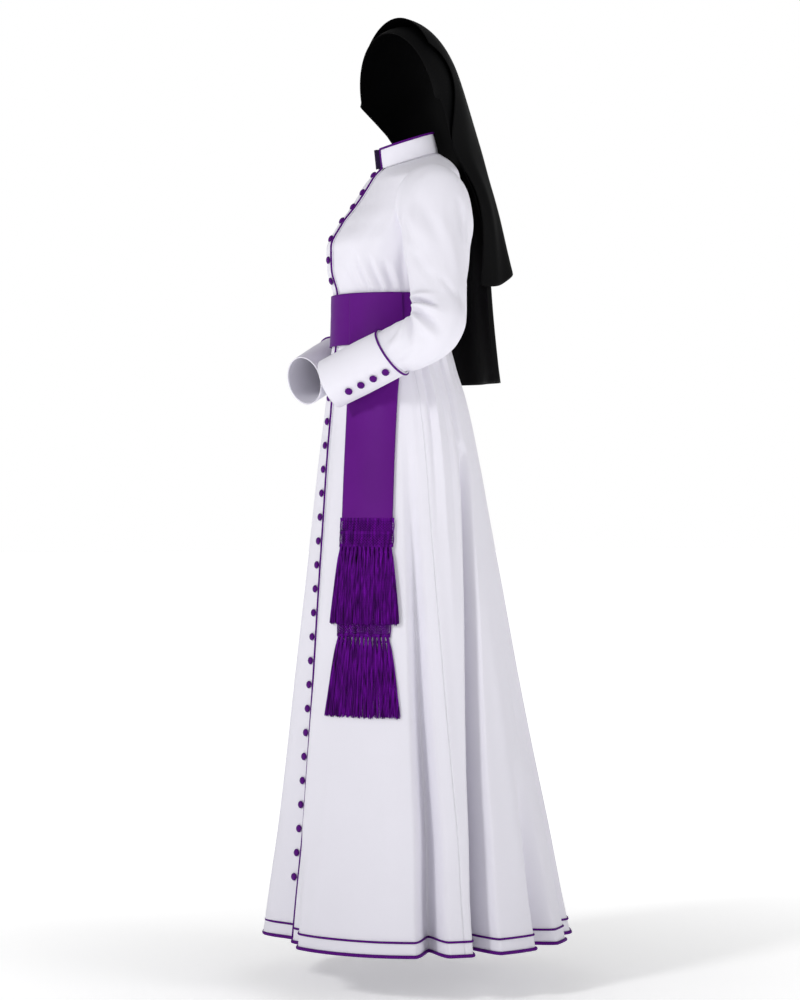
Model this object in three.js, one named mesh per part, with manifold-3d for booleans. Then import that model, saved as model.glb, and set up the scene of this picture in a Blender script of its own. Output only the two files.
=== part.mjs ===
// Cassock and veil set: a white cassock with purple piping and buttons, its fascia with two
// fringed tails, and a black veil in two tiers, all in the hollow form that they take when worn.
//
// Millimetres, +Z up. The front faces -Y and the wearer's left is +X. The origin is the centre of
// the neck at the foot of the collar, where the shoulders carry the set. Tables give heights above
// the floor and distances from the body's axis, which runs a little in front of the neck.

import * as THREE from "three";
import { mergeVertices } from "three/addons/utils/BufferGeometryUtils.js";
import Module from "manifold-3d";

// ---------------------------------------------------------------- driving dimensions
const NECK_HEIGHT = 1523; // the origin above the floor
const AXIS_Y = -25; // the body's axis, in front of the neck's centre
const WALL = 2; // cassock cloth, with its lining
const SILK = 1.5; // fascia and veil cloth
const SEAM = 0.3; // between two pieces that meet
const LAP = 14; // the right front's edge, past the centre line
const UNDERLAP = 16; // the left front's edge, past the centre line under the lap
const SIDE_SEAM = 90; // degrees round from the front
const BACK_SEAM = 180;

// The cassock's rings, from the hem to the foot of the collar. rise is how much higher the ring's
// back is than its front.
const RINGS = [
  { height: 86, halfWidth: 290, front: 243, back: 328, rise: 0 },
  { height: 180, halfWidth: 277, front: 230, back: 308, rise: 0 },
  { height: 290, halfWidth: 265, front: 214, back: 286, rise: 0 },
  { height: 415, halfWidth: 245, front: 200, back: 260, rise: 0 },
  { height: 560, halfWidth: 223, front: 184, back: 231, rise: 0 },
  { height: 713, halfWidth: 204, front: 168, back: 202, rise: 0 },
  { height: 850, halfWidth: 185, front: 153, back: 176, rise: 0 },
  { height: 970, halfWidth: 170, front: 140, back: 154, rise: 0 },
  { height: 1075, halfWidth: 150, front: 127, back: 129, rise: 0 },
  { height: 1141, halfWidth: 130, front: 120, back: 108, rise: 0 },
  { height: 1205, halfWidth: 116, front: 115, back: 95, rise: 0 },
  { height: 1271, halfWidth: 121, front: 114, back: 102, rise: 0 },
  { height: 1318, halfWidth: 136, front: 125, back: 115, rise: 0 },
  { height: 1358, halfWidth: 146, front: 126, back: 125, rise: 0 },
  { height: 1400, halfWidth: 153, front: 106, back: 127, rise: 0 },
  { height: 1440, halfWidth: 158, front: 78, back: 122, rise: 6 },
  { height: 1486, halfWidth: 160, front: 51, back: 110, rise: 16 },
  { height: 1505, halfWidth: 122, front: 42, back: 101, rise: 26 },
  { height: 1523, halfWidth: 62, front: 29, back: 80, rise: 34 },
];
const HEM = RINGS[0].height;
const BAND_FOOT = 1176;
const BAND_TOP = 1271;

// Troughs between the skirt's folds: where they lie in degrees round from the front, how far they
// reach to each side, how deep they are at the hem, and the height at which they have faded. An
// early of less than 1 makes a trough deepen sooner below that height.
const FOLDS = [
  { angle: 3, reach: 18, depth: 44, fades: 1130 },
  { angle: 17, reach: 8, depth: 26, fades: 300 },
  { angle: 78, reach: 6.5, depth: 70, fades: 1040 },
  { angle: 98.5, reach: 6, depth: 95, fades: 1000, early: 0.6 },
  { angle: 128, reach: 8, depth: 60, fades: 420 },
  { angle: 153, reach: 9, depth: 38, fades: 860 },
  { angle: 188, reach: 11, depth: 64, fades: 980 },
  { angle: 216, reach: 8, depth: 44, fades: 700 },
  { angle: 243, reach: 9, depth: 72, fades: 940 },
  { angle: 276, reach: 7, depth: 86, fades: 1000 },
  { angle: 306, reach: 9, depth: 52, fades: 780 },
];
const WIDEST_STEP = 16; // degrees between two columns of the cassock

// The left side's folds drift back as they rise: the degrees round at the hem, and how much further
// back they are at DRIFT_HEIGHT. Above it they come forward again.
const DRIFT = [
  [84.5, 0],
  [92.5, 26.5],
  [104.5, 26.5],
  [144, 0],
];
const DRIFT_HEIGHT = 980;
const DRIFT_END = 1141;

// The left sleeve's upper part, by the outer and the inner point of each oblique ring.
const SLEEVE_HEAD = [
  { outerX: 108, outerHeight: 1486, innerX: 104, innerHeight: 1360, y: 20, halfDepth: 38 },
  { outerX: 134, outerHeight: 1497, innerX: 124, innerHeight: 1352, y: 18, halfDepth: 58 },
  { outerX: 168, outerHeight: 1500, innerX: 138, innerHeight: 1345, y: 22, halfDepth: 62 },
  { outerX: 197, outerHeight: 1483, innerX: 143, innerHeight: 1338, y: 25, halfDepth: 66 },
  { outerX: 217, outerHeight: 1443, innerX: 149, innerHeight: 1325, y: 25, halfDepth: 66 },
  { outerX: 232, outerHeight: 1388, innerX: 156, innerHeight: 1302, y: 20, halfDepth: 61 },
  { outerX: 246, outerHeight: 1328, innerX: 162, innerHeight: 1276, y: 18, halfDepth: 55 },
];
// Its lower part, from the elbow to the wrist, by each ring's centre and radius. bend is how far
// the ring has turned from the upper arm's direction to the forearm's, and squash is its width
// across the arm as a share of its height.
const SLEEVE_ARM = [
  { x: 216, y: 16, height: 1252, bend: 0, radius: 50, squash: 0.95 },
  { x: 230, y: 11, height: 1218, bend: 0.25, radius: 51, squash: 0.92 },
  { x: 231, y: 0, height: 1194, bend: 0.55, radius: 50, squash: 0.88 },
  { x: 221, y: -17, height: 1179, bend: 0.85, radius: 48, squash: 0.8 },
  { x: 202, y: -38, height: 1168, bend: 1, radius: 46.5, squash: 0.77 },
];
const UPPER_ARM = new THREE.Vector3(0.24, -0.06, -0.97).normalize();
const ELBOW = [246, 5, 1197];
const WRIST = { left: [96, -151, 1103], right: [-80, -153, 1116] };
const CUFF_LENGTH = 138;
const CUFF_SLANT = 9; // how much further its upper edge runs underneath than on top, to each side
const CUFF_RADIUS = 46.5;
const CUFF_SQUASH = 0.76;
const SLEEVE_UNDER_CUFF = 14; // how far the sleeve runs on inside the cuff
const SLEEVE_SIDES = 14;
const CUFF_BUTTONS = { count: 4, spacing: 27, first: 41, below: 45 }; // below: degrees under level

// The collar, from its foot up.
const COLLAR_HEIGHT = 37;
const COLLAR_TOP = { halfWidth: 60, front: 33, back: 70 };
const COLLAR_OPENING = { left: LAP - 4.5, right: -13 }; // where its ends lie across the centre line
const COLLAR_STEP = 15; // degrees between its columns
// The dark strip in the opening lies on the collar's right end and passes under its left end: x,
// and how far out its back face is.
const COLLAR_TAB = [
  { x: -19, out: 2.6 },
  { x: -12, out: 2.6 },
  { x: 6, out: -5.2 },
  { x: 15.5, out: -5.2 },
];

// Piping: a cord sewn flat on an edge.
const PIPING = { width: 4.5, thickness: 2 };
const HEM_PIPING_WIDTH = 6;
const HEM_LINE_RISE = 26; // the second row above the hem
const HEM_LINE_WIDTH = 3.5;

// Buttons: low round domes.
const BUTTON = { radius: 7, thickness: 6, sides: 8 };
const BUTTON_INSET = 17; // from the lap's edge
const BODICE_BUTTONS = [1509, 1468, 1438, 1409, 1375, 1336, 1298]; // heights
const SKIRT_BUTTONS = { first: 1126, spacing: 44.1, count: 22 };

// The fascia's tails hang in a plane through the body's axis.
const TAIL = { angle: 55.7, width: 101, parts: 6, clear: 1.2 };
const NET = { height: 54, width: 108 };
const FRINGE_THICKNESS = 4;
const TAIL_SET = [
  { name: "front", top: BAND_TOP, foot: 859, fringeFoot: 669, fringeWidth: 139, layer: 1 },
  { name: "back", top: BAND_FOOT - 3, foot: 699, fringeFoot: 504, fringeWidth: 150, layer: 0 },
];

// The veil's rows run from the left edge over the head, or round the back, to the right edge. Each
// is part of an ellipse: its centre, half its width, how far it reaches from the centre, how far
// that reach leans up from straight back, how far the row is turned with the head, and the angles
// at which it starts and ends, 0 at the wearer's left and 180 at the right.
const VEIL_INNER = [
  { x: -10, y: 9, height: 1635, halfWidth: 82, reach: 129, lean: 107, turn: 40, from: 0, to: 180 },
  { x: -12, y: 12, height: 1635, halfWidth: 86, reach: 150, lean: 88, turn: 40, from: 0, to: 180 },
  { x: -13, y: 13, height: 1635, halfWidth: 89, reach: 154, lean: 64, turn: 40, from: 0, to: 180 },
  { x: -14, y: 15, height: 1633, halfWidth: 91, reach: 152, lean: 40, turn: 40, from: 0, to: 180 },
  { x: -17, y: 19, height: 1625, halfWidth: 92, reach: 148, lean: 18, turn: 38, from: 0, to: 178 },
  { x: -13, y: 30, height: 1590, halfWidth: 94, reach: 143, lean: 5, turn: 33, from: 2, to: 166 },
  { x: -18, y: 38, height: 1540, halfWidth: 97, reach: 149, lean: 0, turn: 26, from: 2, to: 152 },
  { x: -29, y: 98, height: 1480, halfWidth: 100, reach: 67, lean: 0, turn: 19, from: 2, to: 150 },
  { x: -28, y: 122, height: 1400, halfWidth: 104, reach: 44, lean: 0, turn: 15, from: 4, to: 152 },
  { x: -26, y: 126, height: 1300, halfWidth: 106, reach: 45, lean: 0, turn: 12, from: 6, to: 158 },
  { x: -24, y: 132, height: 1205, halfWidth: 109, reach: 49, lean: 0, turn: 11, from: 6, to: 162 },
  { x: -22, y: 138, height: 1112, halfWidth: 114, reach: 57, lean: 0, turn: 10, from: 6, to: 164 },
];
const VEIL_OUTER = [
  { x: -12, y: 12, height: 1635, halfWidth: 92, reach: 157, lean: 92, turn: 40, from: 42, to: 140 },
  { x: -13, y: 13, height: 1635, halfWidth: 95, reach: 161, lean: 72, turn: 40, from: 34, to: 146 },
  { x: -14, y: 15, height: 1633, halfWidth: 97, reach: 160, lean: 46, turn: 40, from: 26, to: 154 },
  { x: -17, y: 19, height: 1625, halfWidth: 99, reach: 157, lean: 22, turn: 38, from: 14, to: 165 },
  { x: -13, y: 30, height: 1590, halfWidth: 101, reach: 151, lean: 6, turn: 33, from: 4, to: 165 },
  { x: -18, y: 38, height: 1540, halfWidth: 104, reach: 157, lean: 0, turn: 26, from: 0, to: 153 },
  { x: -29, y: 99, height: 1480, halfWidth: 108, reach: 82, lean: 0, turn: 19, from: 0, to: 152 },
  { x: -28, y: 126, height: 1400, halfWidth: 112, reach: 75, lean: 0, turn: 15, from: 2, to: 156 },
  { x: -27, y: 132, height: 1325, halfWidth: 120, reach: 91, lean: 0, turn: 12, from: 4, to: 160 },
];
const VEIL_COLUMNS = 16;
const VEIL_WAVES = { count: 3.5, depth: 9 }; // soft folds across a tier, and their depth at its foot
const VEIL_OUTER_DIP = 30; // how much lower the outer tier's corners hang than its middle

// ---------------------------------------------------------------- materials
const cloth = (color, roughness) => new THREE.MeshStandardMaterial({ color, roughness, metalness: 0 });
const WHITE = cloth(0xeceaf2, 0.75);
const PURPLE = cloth(0x62208a, 0.5);
const DARK_PURPLE = cloth(0x3c0f63, 0.6);
const BLACK = cloth(0x17171b, 0.7);

// ---------------------------------------------------------------- small helpers
const wasm = await Module();
wasm.setup();

const { degToRad, radToDeg, lerp } = THREE.MathUtils;
const toFrame = (x, y, height) => new THREE.Vector3(x, y + AXIS_Y, height - NECK_HEIGHT);
const range = (count) => Array.from({ length: count }, (_, i) => i);
const mirrored = (point) => new THREE.Vector3(-point.x, point.y, point.z);
const group = new THREE.Group();

function addMesh(name, geometry, material) {
  const flat = geometry.index ? geometry.toNonIndexed() : geometry;
  flat.computeVertexNormals();
  const mesh = new THREE.Mesh(flat, material);
  mesh.name = name;
  group.add(mesh);
  return mesh;
}

function signedVolume(points, triangles) {
  const cross = new THREE.Vector3();
  let sum = 0;
  for (const [a, b, c] of triangles) sum += points[a].dot(cross.crossVectors(points[b], points[c]));
  return sum / 6;
}

// Geometry of a closed mesh, with its faces turned to point out.
function closedGeometry(points, triangles) {
  const facing = signedVolume(points, triangles) < 0 ? triangles.map(([a, b, c]) => [a, c, b]) : triangles;
  const geometry = new THREE.BufferGeometry().setFromPoints(points);
  geometry.setIndex(facing.flat());
  return geometry;
}

// A wall between two grids of points, face[row][column] and back[row][column]. A wrapped wall
// closes on itself round its columns.
function wallGeometry(face, back, wrap = false) {
  const rows = face.length;
  const columns = face[0].length;
  const points = [...face.flat(), ...back.flat()];
  const at = (side, row, column) => (side * rows + row) * columns + (column % columns);
  const triangles = [];
  const quad = (a, b, c, d) => triangles.push([a, b, c], [a, c, d]);
  const lastColumn = wrap ? columns : columns - 1;
  for (let row = 0; row < rows - 1; row++) {
    for (let column = 0; column < lastColumn; column++) {
      const corners = (side) => [
        at(side, row, column),
        at(side, row, column + 1),
        at(side, row + 1, column + 1),
        at(side, row + 1, column),
      ];
      quad(...corners(0));
      const [a, b, c, d] = corners(1); // the same diagonal, facing the other way
      triangles.push([a, c, b], [a, d, c]);
    }
  }
  for (let column = 0; column < lastColumn; column++) {
    quad(at(0, 0, column), at(1, 0, column), at(1, 0, column + 1), at(0, 0, column + 1));
    quad(at(0, rows - 1, column), at(0, rows - 1, column + 1), at(1, rows - 1, column + 1), at(1, rows - 1, column));
  }
  if (!wrap) {
    const end = columns - 1;
    for (let row = 0; row < rows - 1; row++) {
      quad(at(0, row, 0), at(0, row + 1, 0), at(1, row + 1, 0), at(1, row, 0));
      quad(at(0, row, end), at(1, row, end), at(1, row + 1, end), at(0, row + 1, end));
    }
  }
  return closedGeometry(points, triangles);
}

// A filled solid inside a tube of points[row][column], closed by a fan at each end.
function filledGeometry(tube) {
  const rows = tube.length;
  const columns = tube[0].length;
  const middle = (ring) => ring.reduce((sum, p) => sum.add(p), new THREE.Vector3()).divideScalar(columns);
  const points = [...tube.flat(), middle(tube[0]), middle(tube[rows - 1])];
  const at = (row, column) => row * columns + (column % columns);
  const triangles = [];
  for (let column = 0; column < columns; column++) {
    for (let row = 0; row < rows - 1; row++) {
      triangles.push([at(row, column), at(row, column + 1), at(row + 1, column + 1)]);
      triangles.push([at(row, column), at(row + 1, column + 1), at(row + 1, column)]);
    }
    triangles.push([rows * columns, at(0, column + 1), at(0, column)]);
    triangles.push([rows * columns + 1, at(rows - 1, column), at(rows - 1, column + 1)]);
  }
  return closedGeometry(points, triangles);
}

// Each point of a grid moved along the grid's own normal, which faces out where the columns run
// anticlockwise seen from the end that the rows run to.
function movedOut(grid, distance, wrap = false) {
  const rows = grid.length;
  const columns = grid[0].length;
  const pick = (row, column) => {
    const r = THREE.MathUtils.clamp(row, 0, rows - 1);
    const c = wrap ? (column + columns) % columns : THREE.MathUtils.clamp(column, 0, columns - 1);
    return grid[r][c];
  };
  return grid.map((line, row) =>
    line.map((point, column) => {
      const across = pick(row, column + 1).clone().sub(pick(row, column - 1));
      const along = pick(row + 1, column).clone().sub(pick(row - 1, column));
      return point.clone().addScaledVector(across.cross(along).normalize(), distance);
    }),
  );
}

function toSolid(geometry) {
  const bare = geometry.clone();
  bare.deleteAttribute("normal");
  bare.deleteAttribute("uv");
  const merged = mergeVertices(bare, 1e-4);
  const mesh = new wasm.Mesh({
    numProp: 3,
    vertProperties: merged.attributes.position.array,
    triVerts: new Uint32Array(merged.index.array),
  });
  return new wasm.Manifold(mesh);
}

function toGeometry(solid) {
  const mesh = solid.getMesh();
  const geometry = new THREE.BufferGeometry();
  geometry.setAttribute("position", new THREE.BufferAttribute(mesh.vertProperties, 3));
  geometry.setIndex(new THREE.BufferAttribute(mesh.triVerts, 1));
  return geometry;
}

// The largest single body of a cut, without the crumbs that a cut can leave.
function largestBody(solid) {
  return solid.decompose().reduce((best, body) => (body.volume() > best.volume() ? body : best));
}

// ---------------------------------------------------------------- the cassock's surface
function ringAt(height) {
  const upper = Math.max(1, RINGS.findIndex((ring) => ring.height >= height - 1e-6));
  const [low, high] = [RINGS[upper - 1], RINGS[upper]];
  const share = (height - low.height) / (high.height - low.height);
  const between = (column) => lerp(low[column], high[column], share);
  const [front, back] = [between("front"), between("back")];
  return {
    halfWidth: between("halfWidth"),
    halfDepth: (front + back) / 2,
    centreY: (back - front) / 2,
    rise: between("rise"),
  };
}

function driftShare(height) {
  if (height > DRIFT_HEIGHT) return Math.max(0, (DRIFT_END - height) / (DRIFT_END - DRIFT_HEIGHT));
  return ((height - HEM) / (DRIFT_HEIGHT - HEM)) ** 1.8;
}

// The value at a place between the points of a line, given as two lists.
function along(place, from, to) {
  if (place <= from[0] || place >= from.at(-1)) return place;
  const next = from.findIndex((value) => value >= place);
  const share = (place - from[next - 1]) / (from[next] - from[next - 1]);
  return lerp(to[next - 1], to[next], share);
}

// Degrees round at the hem to degrees round at a height, and back.
const HEM_ANGLES = DRIFT.map(([angle]) => angle);
const anglesAt = (height) => DRIFT.map(([angle, back]) => angle + back * driftShare(height));
const drifted = (angle, height) => along(angle, HEM_ANGLES, anglesAt(height));
const undrifted = (angle, height) => along(angle, anglesAt(height), HEM_ANGLES);

function foldDepth(angle, height) {
  const hemAngle = undrifted(THREE.MathUtils.euclideanModulo(angle, 360), height);
  let depth = 0;
  for (const fold of FOLDS) {
    const away = Math.abs(THREE.MathUtils.euclideanModulo(hemAngle - fold.angle + 180, 360) - 180);
    if (away >= fold.reach || height >= fold.fades) continue;
    const grown = ((fold.fades - height) / (fold.fades - HEM)) ** (fold.early ?? 1);
    depth += fold.depth * grown * Math.cos((away / fold.reach) * (Math.PI / 2)) ** 2;
  }
  return depth;
}

// A point of the cassock's outer face, by its degrees round from the front and its height.
function facePoint(angle, height) {
  const ring = ringAt(height);
  const turn = degToRad(angle);
  const inward = new THREE.Vector3(-Math.sin(turn) / ring.halfWidth, Math.cos(turn) / ring.halfDepth, 0);
  inward.normalize();
  const level = height - (ring.rise / 2) * Math.cos(turn);
  const x = ring.halfWidth * Math.sin(turn);
  const y = ring.centreY - ring.halfDepth * Math.cos(turn);
  return toFrame(x, y, level).addScaledVector(inward, foldDepth(angle, height));
}

// The outward normal there, from the face's slope round and up.
function faceNormal(angle, height) {
  const [turn, climb] = [2, 12];
  const top = RINGS.at(-1).height;
  const across = facePoint(angle + turn, height).sub(facePoint(angle - turn, height));
  const up = facePoint(angle, Math.min(top, height + climb)).sub(facePoint(angle, Math.max(HEM, height - climb)));
  return across.cross(up).normalize();
}

const bodyPoint = (angle, height, out = 0) =>
  facePoint(angle, height).addScaledVector(faceNormal(angle, height), out);

// Degrees round the ring to a sideways distance from the centre line, and to a short step along it.
const angleAtX = (x, height) => radToDeg(Math.asin(x / ringAt(height).halfWidth));
const angleStep = (step, height) => radToDeg(step / ringAt(height).halfDepth);

// Columns of the cassock between two seams: each fold's middle and sides, and others where they
// are far apart.
function columnsBetween(start, end) {
  const stations = FOLDS.flatMap((fold) => [-1, 0, 1].map((side) => fold.angle + side * fold.reach));
  const inside = stations
    .flatMap((angle) => [angle - 360, angle])
    .filter((angle) => angle > start + 2 && angle < end - 2)
    .sort((a, b) => a - b);
  const columns = [];
  let last = start;
  for (const angle of [...inside, end]) {
    const parts = Math.ceil((angle - last) / WIDEST_STEP);
    for (let part = 1; part < parts; part++) columns.push(lerp(last, angle, part / parts));
    if (angle !== end) columns.push(angle);
    last = angle;
  }
  return columns;
}

const HEIGHTS = RINGS.map((ring) => ring.height);

// A column is a function of height that gives the degrees round and how far out the cloth lies.
const plainColumn = (angle) => (height) => ({ angle: drifted(angle, height), out: 0 });
const seamColumn = (angle, side) => (height) => ({ angle: angle + side * angleStep(SEAM / 2, height), out: 0 });
const edgeColumn = (x, out) => (height) => ({ angle: angleAtX(x, height), out });
const besideLap = (x, angle) =>
  [0.35, 0.7].map((share) => (height) => ({ angle: lerp(angleAtX(x, height), angle, share), out: 0 }));

// Columns between the left side seam and the drifting fold behind it.
const BEHIND_SEAM = [0.35, 0.7].map((share) => (height) => ({
  angle: lerp(SIDE_SEAM, drifted(DRIFT[1][0], height), share),
  out: 0,
}));

function bodyGrid(columns, heights, out) {
  return heights.map((height) =>
    columns.map((column) => {
      const place = column(height);
      return bodyPoint(place.angle, height, place.out + out);
    }),
  );
}

const LAP_DROP = -(WALL + SEAM); // the left front's edge lies this far in, under the lap
const LAP_ANGLE = 25; // degrees that hold the lap on the smallest ring, with room beside it
const RIGHT_OF_LAP = [
  ...[...columnsBetween(-SIDE_SEAM, -LAP_ANGLE), -LAP_ANGLE].map(plainColumn),
  ...besideLap(-UNDERLAP, -LAP_ANGLE).reverse(),
  edgeColumn(-UNDERLAP, 0),
  edgeColumn(LAP, 0),
];
const LEFT_OF_LAP = [
  edgeColumn(LAP + 4, 0),
  ...besideLap(LAP + 4, LAP_ANGLE),
  ...[LAP_ANGLE, ...columnsBetween(LAP_ANGLE, SIDE_SEAM)].map(plainColumn),
];
const FRONT_RIGHT_COLUMNS = [seamColumn(-SIDE_SEAM, 1), ...RIGHT_OF_LAP];
const FRONT_LEFT_COLUMNS = [
  edgeColumn(-UNDERLAP, LAP_DROP),
  edgeColumn(LAP, LAP_DROP),
  ...LEFT_OF_LAP,
  seamColumn(SIDE_SEAM, -1),
];
const BACK_LEFT_COLUMNS = [
  seamColumn(SIDE_SEAM, 1),
  ...BEHIND_SEAM,
  ...columnsBetween(SIDE_SEAM, BACK_SEAM).map(plainColumn),
  seamColumn(BACK_SEAM, -1),
];
const BACK_RIGHT_COLUMNS = [
  seamColumn(BACK_SEAM, 1),
  ...columnsBetween(BACK_SEAM, 360 - SIDE_SEAM).map(plainColumn),
  seamColumn(360 - SIDE_SEAM, -1),
];

// The whole cassock as one filled form, grown a little, to trim what is set into it.
const WHOLE_BODY_COLUMNS = [
  ...RIGHT_OF_LAP,
  ...LEFT_OF_LAP,
  seamColumn(SIDE_SEAM, 0),
  ...BEHIND_SEAM,
  ...columnsBetween(SIDE_SEAM, BACK_SEAM).map(plainColumn),
  plainColumn(BACK_SEAM),
  ...columnsBetween(BACK_SEAM, 360 - SIDE_SEAM).map(plainColumn),
  plainColumn(360 - SIDE_SEAM),
];
const bodyForm = toSolid(filledGeometry(bodyGrid(WHOLE_BODY_COLUMNS, HEIGHTS, SEAM)));

// ---------------------------------------------------------------- sleeves and cuffs
// A ring starts at the arm's outer side and runs so that its normals face out on the way down.
function ringPoints(centre, outerSide, backSide) {
  return range(SLEEVE_SIDES).map((i) => {
    const turn = (-2 * Math.PI * i) / SLEEVE_SIDES;
    return centre.clone().addScaledVector(outerSide, Math.cos(turn)).addScaledVector(backSide, Math.sin(turn));
  });
}

// The arm that is on the left, or that is mirrored to be on the right: its wrist, the forearm's
// direction, and the level direction across it, away from the body.
function forearmOf(side) {
  const wrist = toFrame(...WRIST[side]);
  wrist.x = Math.abs(wrist.x);
  const direction = wrist.clone().sub(toFrame(...ELBOW)).normalize();
  const across = new THREE.Vector3(-direction.y, direction.x, 0).normalize();
  return { wrist, direction, across };
}

// A round ring of the arm, turned with the bend of the elbow and squashed across the forearm.
function armRing(centre, { direction, across }, { bend, radius, squash }) {
  const full = new THREE.Quaternion().setFromUnitVectors(UPPER_ARM, direction);
  const turn = new THREE.Quaternion().slerp(full, bend);
  const outer = new THREE.Vector3(1, 0, 0.24).normalize().multiplyScalar(radius).applyQuaternion(turn);
  const back = new THREE.Vector3(0.015, 1, -0.06).normalize().multiplyScalar(radius).applyQuaternion(turn);
  return ringPoints(centre, outer, back).map((point) => {
    const sideways = point.clone().sub(centre).dot(across);
    return point.addScaledVector(across, -sideways * (1 - squash));
  });
}

function forearmRing(forearm, fromWrist, radius, slant = 0) {
  const { wrist, direction, across } = forearm;
  const centre = wrist.clone().addScaledVector(direction, -fromWrist);
  const down = across.clone().cross(direction);
  return armRing(centre, forearm, { bend: 1, radius, squash: CUFF_SQUASH }).map((point) => {
    const low = point.clone().sub(centre).dot(down) / radius;
    return point.addScaledVector(direction, -slant * low);
  });
}

function sleeveRings(forearm) {
  const underCuff = CUFF_RADIUS - (WALL + 2 * SEAM) / CUFF_SQUASH;
  return [
    ...SLEEVE_HEAD.map((row) => {
      const outer = toFrame(row.outerX, row.y, row.outerHeight);
      const inner = toFrame(row.innerX, row.y, row.innerHeight);
      const centre = outer.clone().add(inner).multiplyScalar(0.5);
      return ringPoints(centre, outer.sub(centre), new THREE.Vector3(0, row.halfDepth, 0));
    }),
    ...SLEEVE_ARM.map((row) => armRing(toFrame(row.x, row.y, row.height), forearm, row)),
    forearmRing(forearm, CUFF_LENGTH + CUFF_SLANT + 5, underCuff),
    forearmRing(forearm, CUFF_LENGTH - CUFF_SLANT - SLEEVE_UNDER_CUFF, underCuff),
  ];
}

const placed = (rings, side) =>
  side === "left" ? rings : rings.map((ring) => [ring[0], ...ring.slice(1).reverse()].map(mirrored));

const tubeWall = (rings, inside, outside) =>
  wallGeometry(movedOut(rings, outside, true), movedOut(rings, inside, true), true);

// Builds a sleeve and gives the filled form of it that opens the armhole.
function buildSleeve(side) {
  const rings = placed(sleeveRings(forearmOf(side)), side);
  const wall = toSolid(tubeWall(rings, -WALL, 0));
  addMesh(`sleeve_${side}`, toGeometry(largestBody(wall.subtract(bodyForm))), WHITE);
  return toSolid(filledGeometry(movedOut(rings, SEAM, true)));
}

function buildCuff(side) {
  const forearm = forearmOf(side);
  const edgeRing = (distance) => forearmRing(forearm, distance, CUFF_RADIUS, CUFF_SLANT);
  const cuff = placed([edgeRing(CUFF_LENGTH), forearmRing(forearm, 0, CUFF_RADIUS)], side);
  addMesh(`cuff_${side}`, tubeWall(cuff, -WALL, 0), WHITE);
  const edge = placed([CUFF_LENGTH, CUFF_LENGTH - PIPING.width].map(edgeRing), side);
  addMesh(`cuff_piping_${side}`, tubeWall(edge, SEAM, SEAM + PIPING.thickness), PURPLE);
}

// ---------------------------------------------------------------- buttons
function buttonGeometry() {
  const { radius, thickness, sides } = BUTTON;
  const profile = [
    [0, 0],
    [radius * 0.8, 0],
    [radius, thickness * 0.4],
    [radius * 0.7, thickness * 0.85],
    [0, thickness],
  ];
  const lathe = new THREE.LatheGeometry(profile.map(([r, h]) => new THREE.Vector2(r, h)), sides);
  lathe.deleteAttribute("normal");
  lathe.deleteAttribute("uv");
  const merged = mergeVertices(lathe, 1e-4);
  // A lathe leaves flat triangles on its axis, which have two corners alike.
  const kept = [];
  const index = merged.index.array;
  for (let i = 0; i < index.length; i += 3) {
    const [a, b, c] = index.slice(i, i + 3);
    if (a !== b && b !== c && a !== c) kept.push([a, b, c]);
  }
  const place = merged.attributes.position;
  const points = range(place.count).map((i) => new THREE.Vector3().fromBufferAttribute(place, i));
  return closedGeometry(points, kept);
}

function addButton(name, point, normal) {
  const mesh = addMesh(name, buttonGeometry(), PURPLE);
  mesh.position.copy(point);
  mesh.quaternion.setFromUnitVectors(new THREE.Vector3(0, 1, 0), normal);
}

// A point of the flat strip between the lap's edge and the edge under it.
function lapPoint(x, height, out) {
  const [right, left] = [-UNDERLAP, LAP].map((edge) => bodyPoint(angleAtX(edge, height), height, out));
  return right.lerp(left, (x + UNDERLAP) / (LAP + UNDERLAP));
}

function buildFrontButtons() {
  const skirt = range(SKIRT_BUTTONS.count).map((i) => SKIRT_BUTTONS.first - i * SKIRT_BUTTONS.spacing);
  [...BODICE_BUTTONS, ...skirt].forEach((height, i) => {
    const foot = lapPoint(LAP - BUTTON_INSET, height, SEAM * 2);
    const normal = lapPoint(LAP - BUTTON_INSET, height, 1 + SEAM * 2).sub(foot).normalize();
    addButton(`button_${String(i + 1).padStart(2, "0")}`, foot, normal);
  });
}

function buildCuffButtons(side) {
  const { wrist, direction, across } = forearmOf(side);
  const { count, spacing, first, below } = CUFF_BUTTONS;
  const down = across.clone().cross(direction);
  const [level, drop] = [Math.cos(degToRad(below)), Math.sin(degToRad(below))];
  const out = across.clone().multiplyScalar(CUFF_SQUASH * level).addScaledVector(down, drop);
  const normal = across.clone().multiplyScalar(level).addScaledVector(down, CUFF_SQUASH * drop).normalize();
  range(count).forEach((i) => {
    const point = wrist.clone().addScaledVector(direction, -(first + i * spacing));
    point.addScaledVector(out, CUFF_RADIUS).addScaledVector(normal, SEAM);
    const [foot, facing] = side === "left" ? [point, normal] : [mirrored(point), mirrored(normal)];
    addButton(`cuff_button_${side}_${i + 1}`, foot, facing);
  });
}

// ---------------------------------------------------------------- collar and piping
const NECK_RING = ringAt(NECK_HEIGHT);
const collarAngle = (x) => radToDeg(Math.asin(x / NECK_RING.halfWidth));

// A point of the collar's outer face, by the share of its height.
function collarPoint(angle, share, out) {
  const turn = degToRad(angle);
  const halfWidth = lerp(NECK_RING.halfWidth, COLLAR_TOP.halfWidth, share) + out;
  const halfDepth = lerp(NECK_RING.halfDepth, (COLLAR_TOP.front + COLLAR_TOP.back) / 2, share) + out;
  const centreY = lerp(NECK_RING.centreY, (COLLAR_TOP.back - COLLAR_TOP.front) / 2, share);
  const foot = NECK_HEIGHT - (NECK_RING.rise / 2) * Math.cos(turn) + 4 * SEAM;
  return toFrame(halfWidth * Math.sin(turn), centreY - halfDepth * Math.cos(turn), foot + share * COLLAR_HEIGHT);
}

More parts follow.
